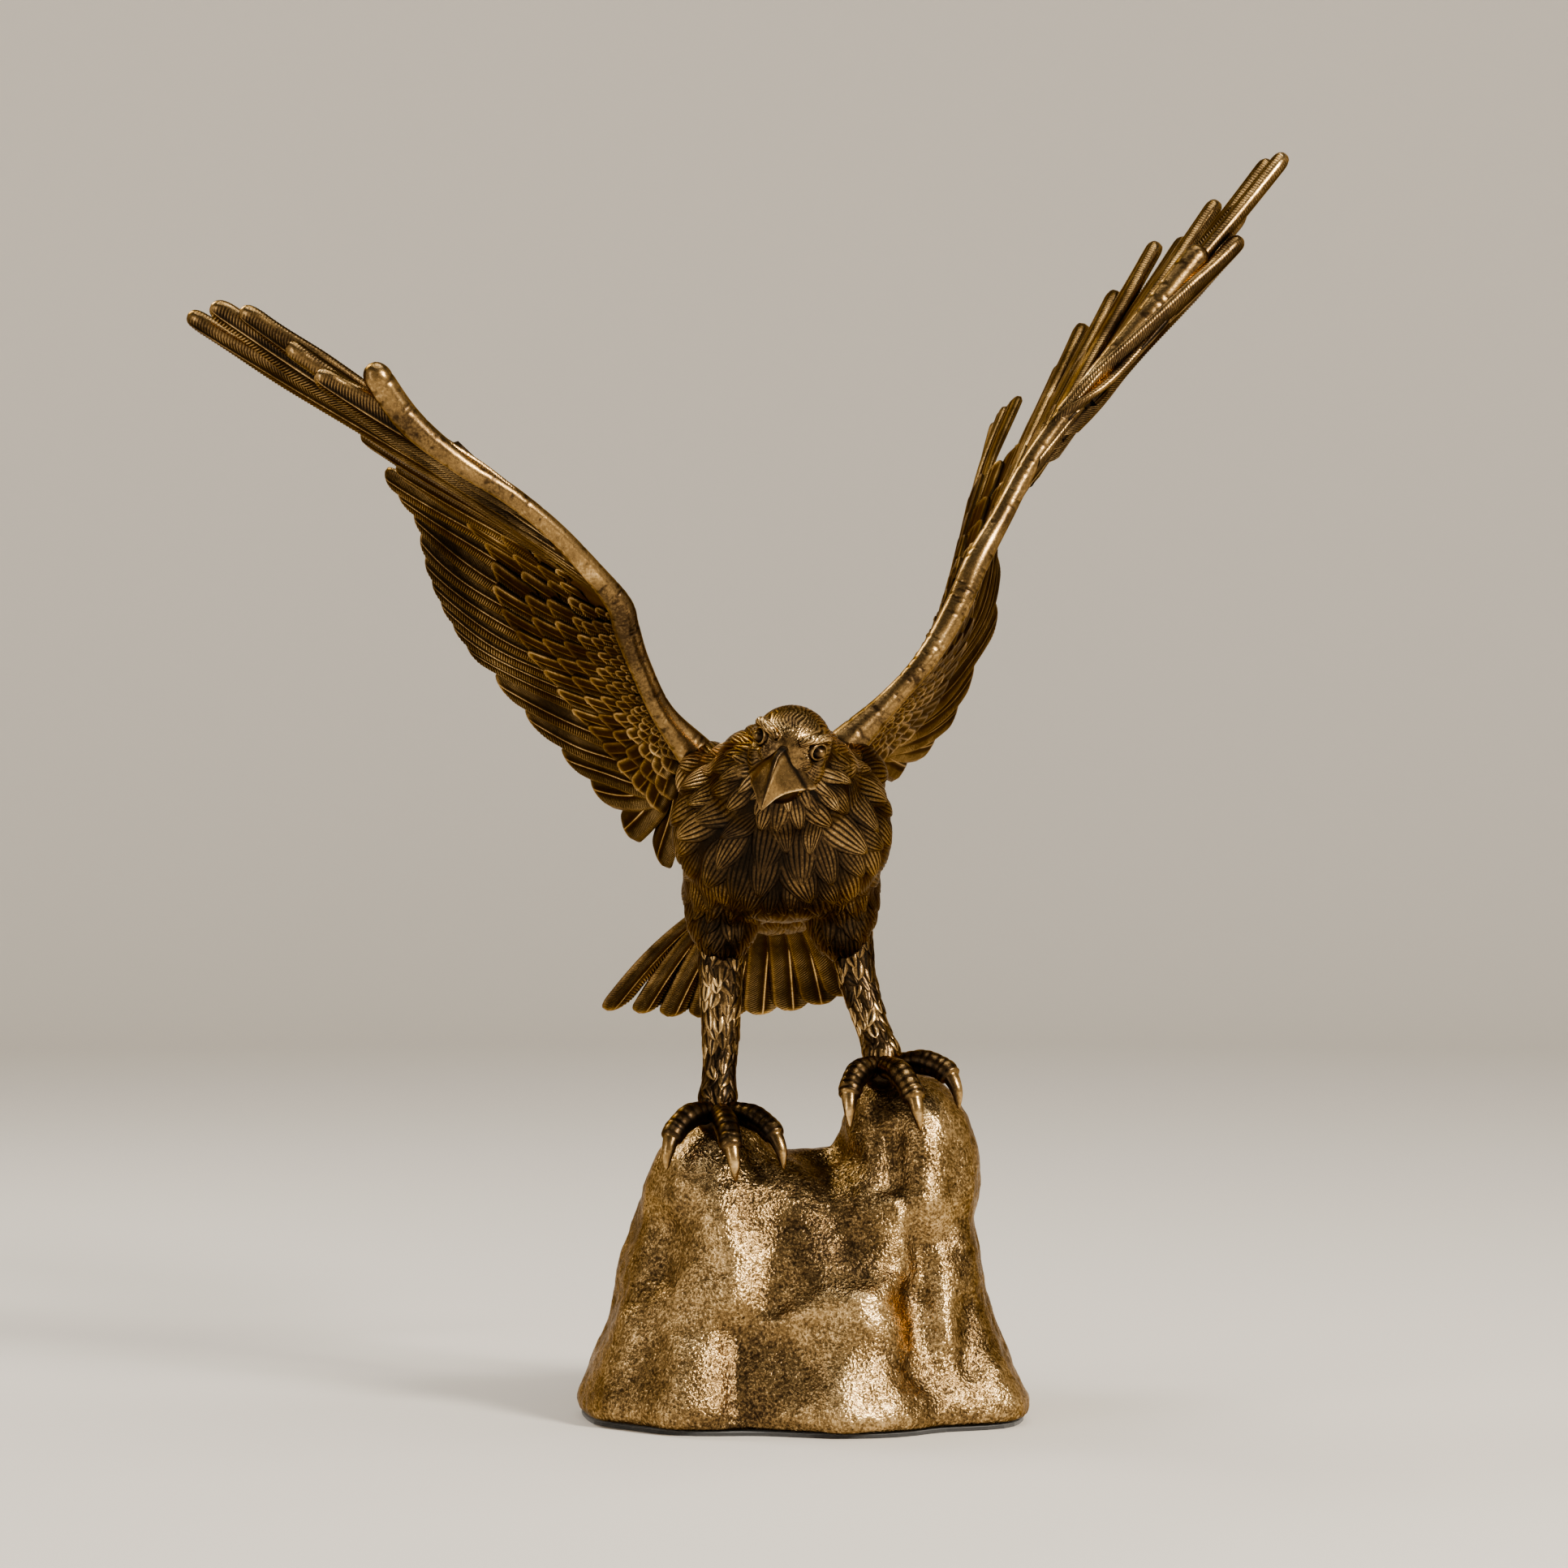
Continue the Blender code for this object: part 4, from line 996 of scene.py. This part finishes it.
ROCK_FOLDS = [
    (-62, 13, 3.0), (-34, 12, 4.5), (-12, 11, -5.0), (16, 13, 4.0), (38, 8, -3.5), (58, 11, 4.5),
    (88, 9, -3.0), (118, 14, 4.0), (150, 14, -3.5), (-172, 14, 3.5), (-140, 13, -3.0), (-104, 13, 3.5),
]


def rock_loft(slices, strength, count=96):
    """A closed loft of the rock's slices, with its folds standing out less towards the top."""
    turns = turns_of(count)
    rings = []
    for z, x, y, half_width, half_depth in slices:
        angle = np.degrees(np.arctan2(np.cos(turns), -np.sin(turns)))
        out = np.zeros(count)
        for centre, width, depth in ROCK_FOLDS:
            off = (angle - centre + 180) % 360 - 180
            out += depth * np.exp(-((off / width) ** 2))
        out *= strength * min(1.0, 1.6 * (1.1 - z / ROCK_SKIRT[-1][0]) + 0.35)
        across, deep = np.cos(turns) * (half_width + out), np.sin(turns) * (half_depth + out)
        rings.append(np.stack([x + across, y + deep, z + 0 * out], -1))
    return np.concatenate(rings) * MM, closed_faces(len(rings), count)


# Ridges and hollows on the front: points across and up in mm, half width, height out (or in when negative)
ROCK_RELIEF = [
    ([(-46, 98), (-38, 86), (-25, 64), (-27, 47)], 8, 3.0),
    ([(-54.5, 72), (-55, 58)], 8, -3.2),
    ([(-27, 38), (-24, 4)], 6, -3.2),
    ([(-68, 38), (-77, 6)], 6, 2.4),
    ([(-46, 30), (-50, 8)], 7, 2.0),
    ([(8, 96), (14, 72)], 13, -7.0),
    ([(32, 84), (37, 58), (24, 51), (8, 50), (-11, 40)], 5, 3.2),
    ([(-4, 30), (4, 24)], 9, -2.6),
    ([(22, 43), (30, 40)], 9, 4.2),
    ([(39, 50), (41, 22)], 7, -2.8),
    ([(50, 64), (52, 34)], 6, 3.0),
    ([(61, 44), (62, 24)], 6, -3.0),
    ([(76, 20), (80, 8)], 7, 2.2),
    ([(46, 116), (47, 82)], 9, 2.8),
    ([(32, 108), (33, 92)], 6, -3.4),
    ([(10, 18), (14, 4)], 8, 2.2),
]


def segment_distance(x, z, a, b):
    a, b = np.array(a, float), np.array(b, float)
    d = b - a
    s = np.clip(((x - a[0]) * d[0] + (z - a[1]) * d[1]) / (d @ d), 0, 1)
    return np.hypot(x - a[0] - d[0] * s, z - a[1] - d[1] * s)


def make_rock(material):
    parts = [
        rock_loft(ROCK_SKIRT, 1.0),
        rock_loft(ROCK_RIGHT_PEAK, 0.35),
        rock_loft(ROCK_LEFT_PEAK, 0.35),
    ]
    coarse = melted("rock_melt", parts, 2.4 * MM, 8)
    points, polygons = melted("rock_melt", [coarse], 1.35 * MM, 3)
    x, y, z = (points / MM).T
    front = smooth((-y + 6) / 14)
    out = np.zeros(len(points))
    for line, width, depth in ROCK_RELIEF:
        near = np.min([segment_distance(x, z, a, b) for a, b in zip(line, line[1:])], axis=0)
        out += depth * np.exp(-((near / width) ** 2)) * front
    mesh = bpy.data.meshes.new("rock_normals")
    mesh.from_pydata(points.tolist(), [], polygons)
    normals = np.zeros(len(points) * 3)
    mesh.vertices.foreach_get("normal", normals)
    normals = normals.reshape(-1, 3)
    bpy.data.meshes.remove(mesh)
    hold = smooth((z - 1.7) / 2.5)
    dents = np.array([noise.noise(Vector(p) * 45.0) for p in points]) * 1.6
    wrinkles = np.array([noise.noise(Vector((p[0] * 300, p[1] * 300, p[2] * 420))) for p in points])
    lumps = np.array([noise.noise(Vector(p) * 150.0) for p in points])
    move = (out + dents + 0.55 * lumps + 0.25 * wrinkles) * hold
    points = points + normals * (move * MM)[:, None]
    points[:, 2] = np.maximum(points[:, 2], 1.7 * MM)
    relief = 0.70 + 0.12 * wrinkles + 0.06 * lumps + 0.03 * np.clip(out, -4, 4) + 0.05 * dents
    relief = np.clip(relief, 0, 1)
    hand_over(mesh_object("rock_surface", points, polygons, relief, material), "rock_base")


# Plain parts under the rock and inside the castings


def simple_metal(name, colour, roughness, scale):
    look = Look(name)
    look.shader.inputs["Metallic"].default_value = 1.0
    spots = look.noise(scale, 5.0)
    look.colour(spots, [(0.0, [c * 0.7 for c in colour]), (1.0, colour)])
    look.roughness(spots, roughness - 0.1, roughness + 0.1)
    return look.material


def felt_material():
    look = Look("black_felt_fibres")
    look.shader.inputs["Roughness"].default_value = 0.95
    look.shader.inputs["Sheen Weight"].default_value = 0.3
    fibres = look.noise(1800.0, 6.0)
    look.colour(fibres, [(0.0, (0.006, 0.006, 0.006)), (1.0, (0.035, 0.034, 0.033))])
    look.bump(fibres, 0.3 * MM)
    return look.material


def repaint(node, material):
    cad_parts[node].data.materials.clear()
    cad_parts[node].data.materials.append(material)


# Floor, backdrop, lights, camera


def make_stage():
    lowest = cad_bounds[0][2]
    mesh = bpy.data.meshes.new("floor")
    profile = [(1.0, 0.0), (2.7, 0.0)]  # distance from the middle and height, up to the round wall
    bend = np.linspace(0, math.pi / 2, 17)[1:]
    profile += [(2.7 + 0.9 * math.sin(a), 0.9 - 0.9 * math.cos(a)) for a in bend]
    profile += [(3.6, 3.4)]
    count = 96
    turns = turns_of(count)
    points = [(r * math.cos(a), r * math.sin(a), lowest + z) for r, z in profile for a in turns]
    faces = [list(range(count))]
    for ring in range(0, (len(profile) - 1) * count, count):
        for i in range(count):
            j = (i + 1) % count
            faces.append([ring + j, ring + i, ring + count + i, ring + count + j])
    mesh.from_pydata(points, [], faces)
    mesh.shade_smooth()
    floor = new_object("floor", mesh)
    paint = bpy.data.materials.new("pale_floor")
    paint.use_nodes = True
    shader = paint.node_tree.nodes["Principled BSDF"]
    shader.inputs["Base Color"].default_value = (0.64, 0.60, 0.54, 1.0)
    shader.inputs["Roughness"].default_value = 0.7
    mesh.materials.append(paint)


def area_light(name, place, target, size, power, colour):
    data = bpy.data.lights.new(name, "AREA")
    data.shape = "RECTANGLE"
    data.size, data.size_y = size
    data.energy = power
    data.color = colour
    light = new_object(name, data)
    light.location = place
    light.rotation_euler = (Vector(target) - Vector(place)).to_track_quat("-Z", "Y").to_euler()


def make_lights():
    target = (0.0, 0.0, 0.22)
    area_light("key", (1.25, -1.20, 1.20), target, (0.42, 0.55), 84.0, (1.0, 0.93, 0.82))
    area_light("fill", (-1.6, -1.2, 0.5), target, (0.35, 1.2), 9.0, (1.0, 0.95, 0.88))
    area_light("rim", (-0.9, 0.75, 1.3), target, (0.5, 0.5), 16.0, (1.0, 0.95, 0.88))
    area_light("top", (0.1, 0.0, 2.0), target, (0.8, 0.8), 9.0, (1.0, 0.97, 0.92))
    for i, power in enumerate((34.0, 34.0, 26.0, 26.0)):
        turn = math.radians(45 + 90 * i)
        at = (0.9 * math.cos(turn), 0.9 * math.sin(turn), 2.7)
        wall = (3.6 * math.cos(turn), 3.6 * math.sin(turn), 0.8)
        area_light(f"wall_{i + 1}", at, wall, (1.6, 0.5), power, (1.0, 0.96, 0.90))
    world = bpy.data.worlds.new("studio")
    bpy.context.scene.world = world
    world.use_nodes = True
    world.node_tree.nodes["Background"].inputs["Color"].default_value = (0.80, 0.77, 0.72, 1.0)
    world.node_tree.nodes["Background"].inputs["Strength"].default_value = 0.13


def make_camera():
    data = bpy.data.cameras.new("camera")
    data.sensor_width = 36.0
    data.lens = 112.1
    camera = new_object("camera", data)
    camera.location = (-0.00875, -1.88, 0.243)
    camera.rotation_euler = (math.pi / 2, 0.0, 0.0)
    bpy.context.scene.camera = camera


def main():
    feathers = antique_bronze("bronze_feathers", patches=0.22, speckle=0.12, pits=0.15)
    coat = antique_bronze("bronze_coat", patches=0.25, speckle=0.15, pits=0.15)
    polished = antique_bronze("bronze_polished", patches=0.22, speckle=0.12, pits=0.10)
    rock_look = antique_bronze("bronze_rock", bright=0.9, patches=0.16, speckle=0.34, grain=850.0, pits=1.0)
    dress_wing("right_wing", Wing(RIGHT_WING), feathers, polished)
    dress_wing("left_wing", Wing(LEFT_WING), feathers, polished)
    dress_tail(feathers)
    make_body(coat)
    make_head(coat, polished)
    make_leg("right_leg", RIGHT_LEG, coat, polished)
    make_leg("left_leg", LEFT_LEG, coat, polished)
    make_rock(rock_look)

    steel = simple_metal("zinc_plate", (0.55, 0.55, 0.56), 0.35, 260.0)
    black = simple_metal("black_lacquer", (0.05, 0.05, 0.05), 0.5, 200.0)
    hidden = {"base_felt": felt_material(), "base_cover_plate": black}
    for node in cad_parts:
        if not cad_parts[node].hide_render:
            repaint(node, hidden.get(node, steel))
    make_stage()
    make_lights()
    make_camera()


main()
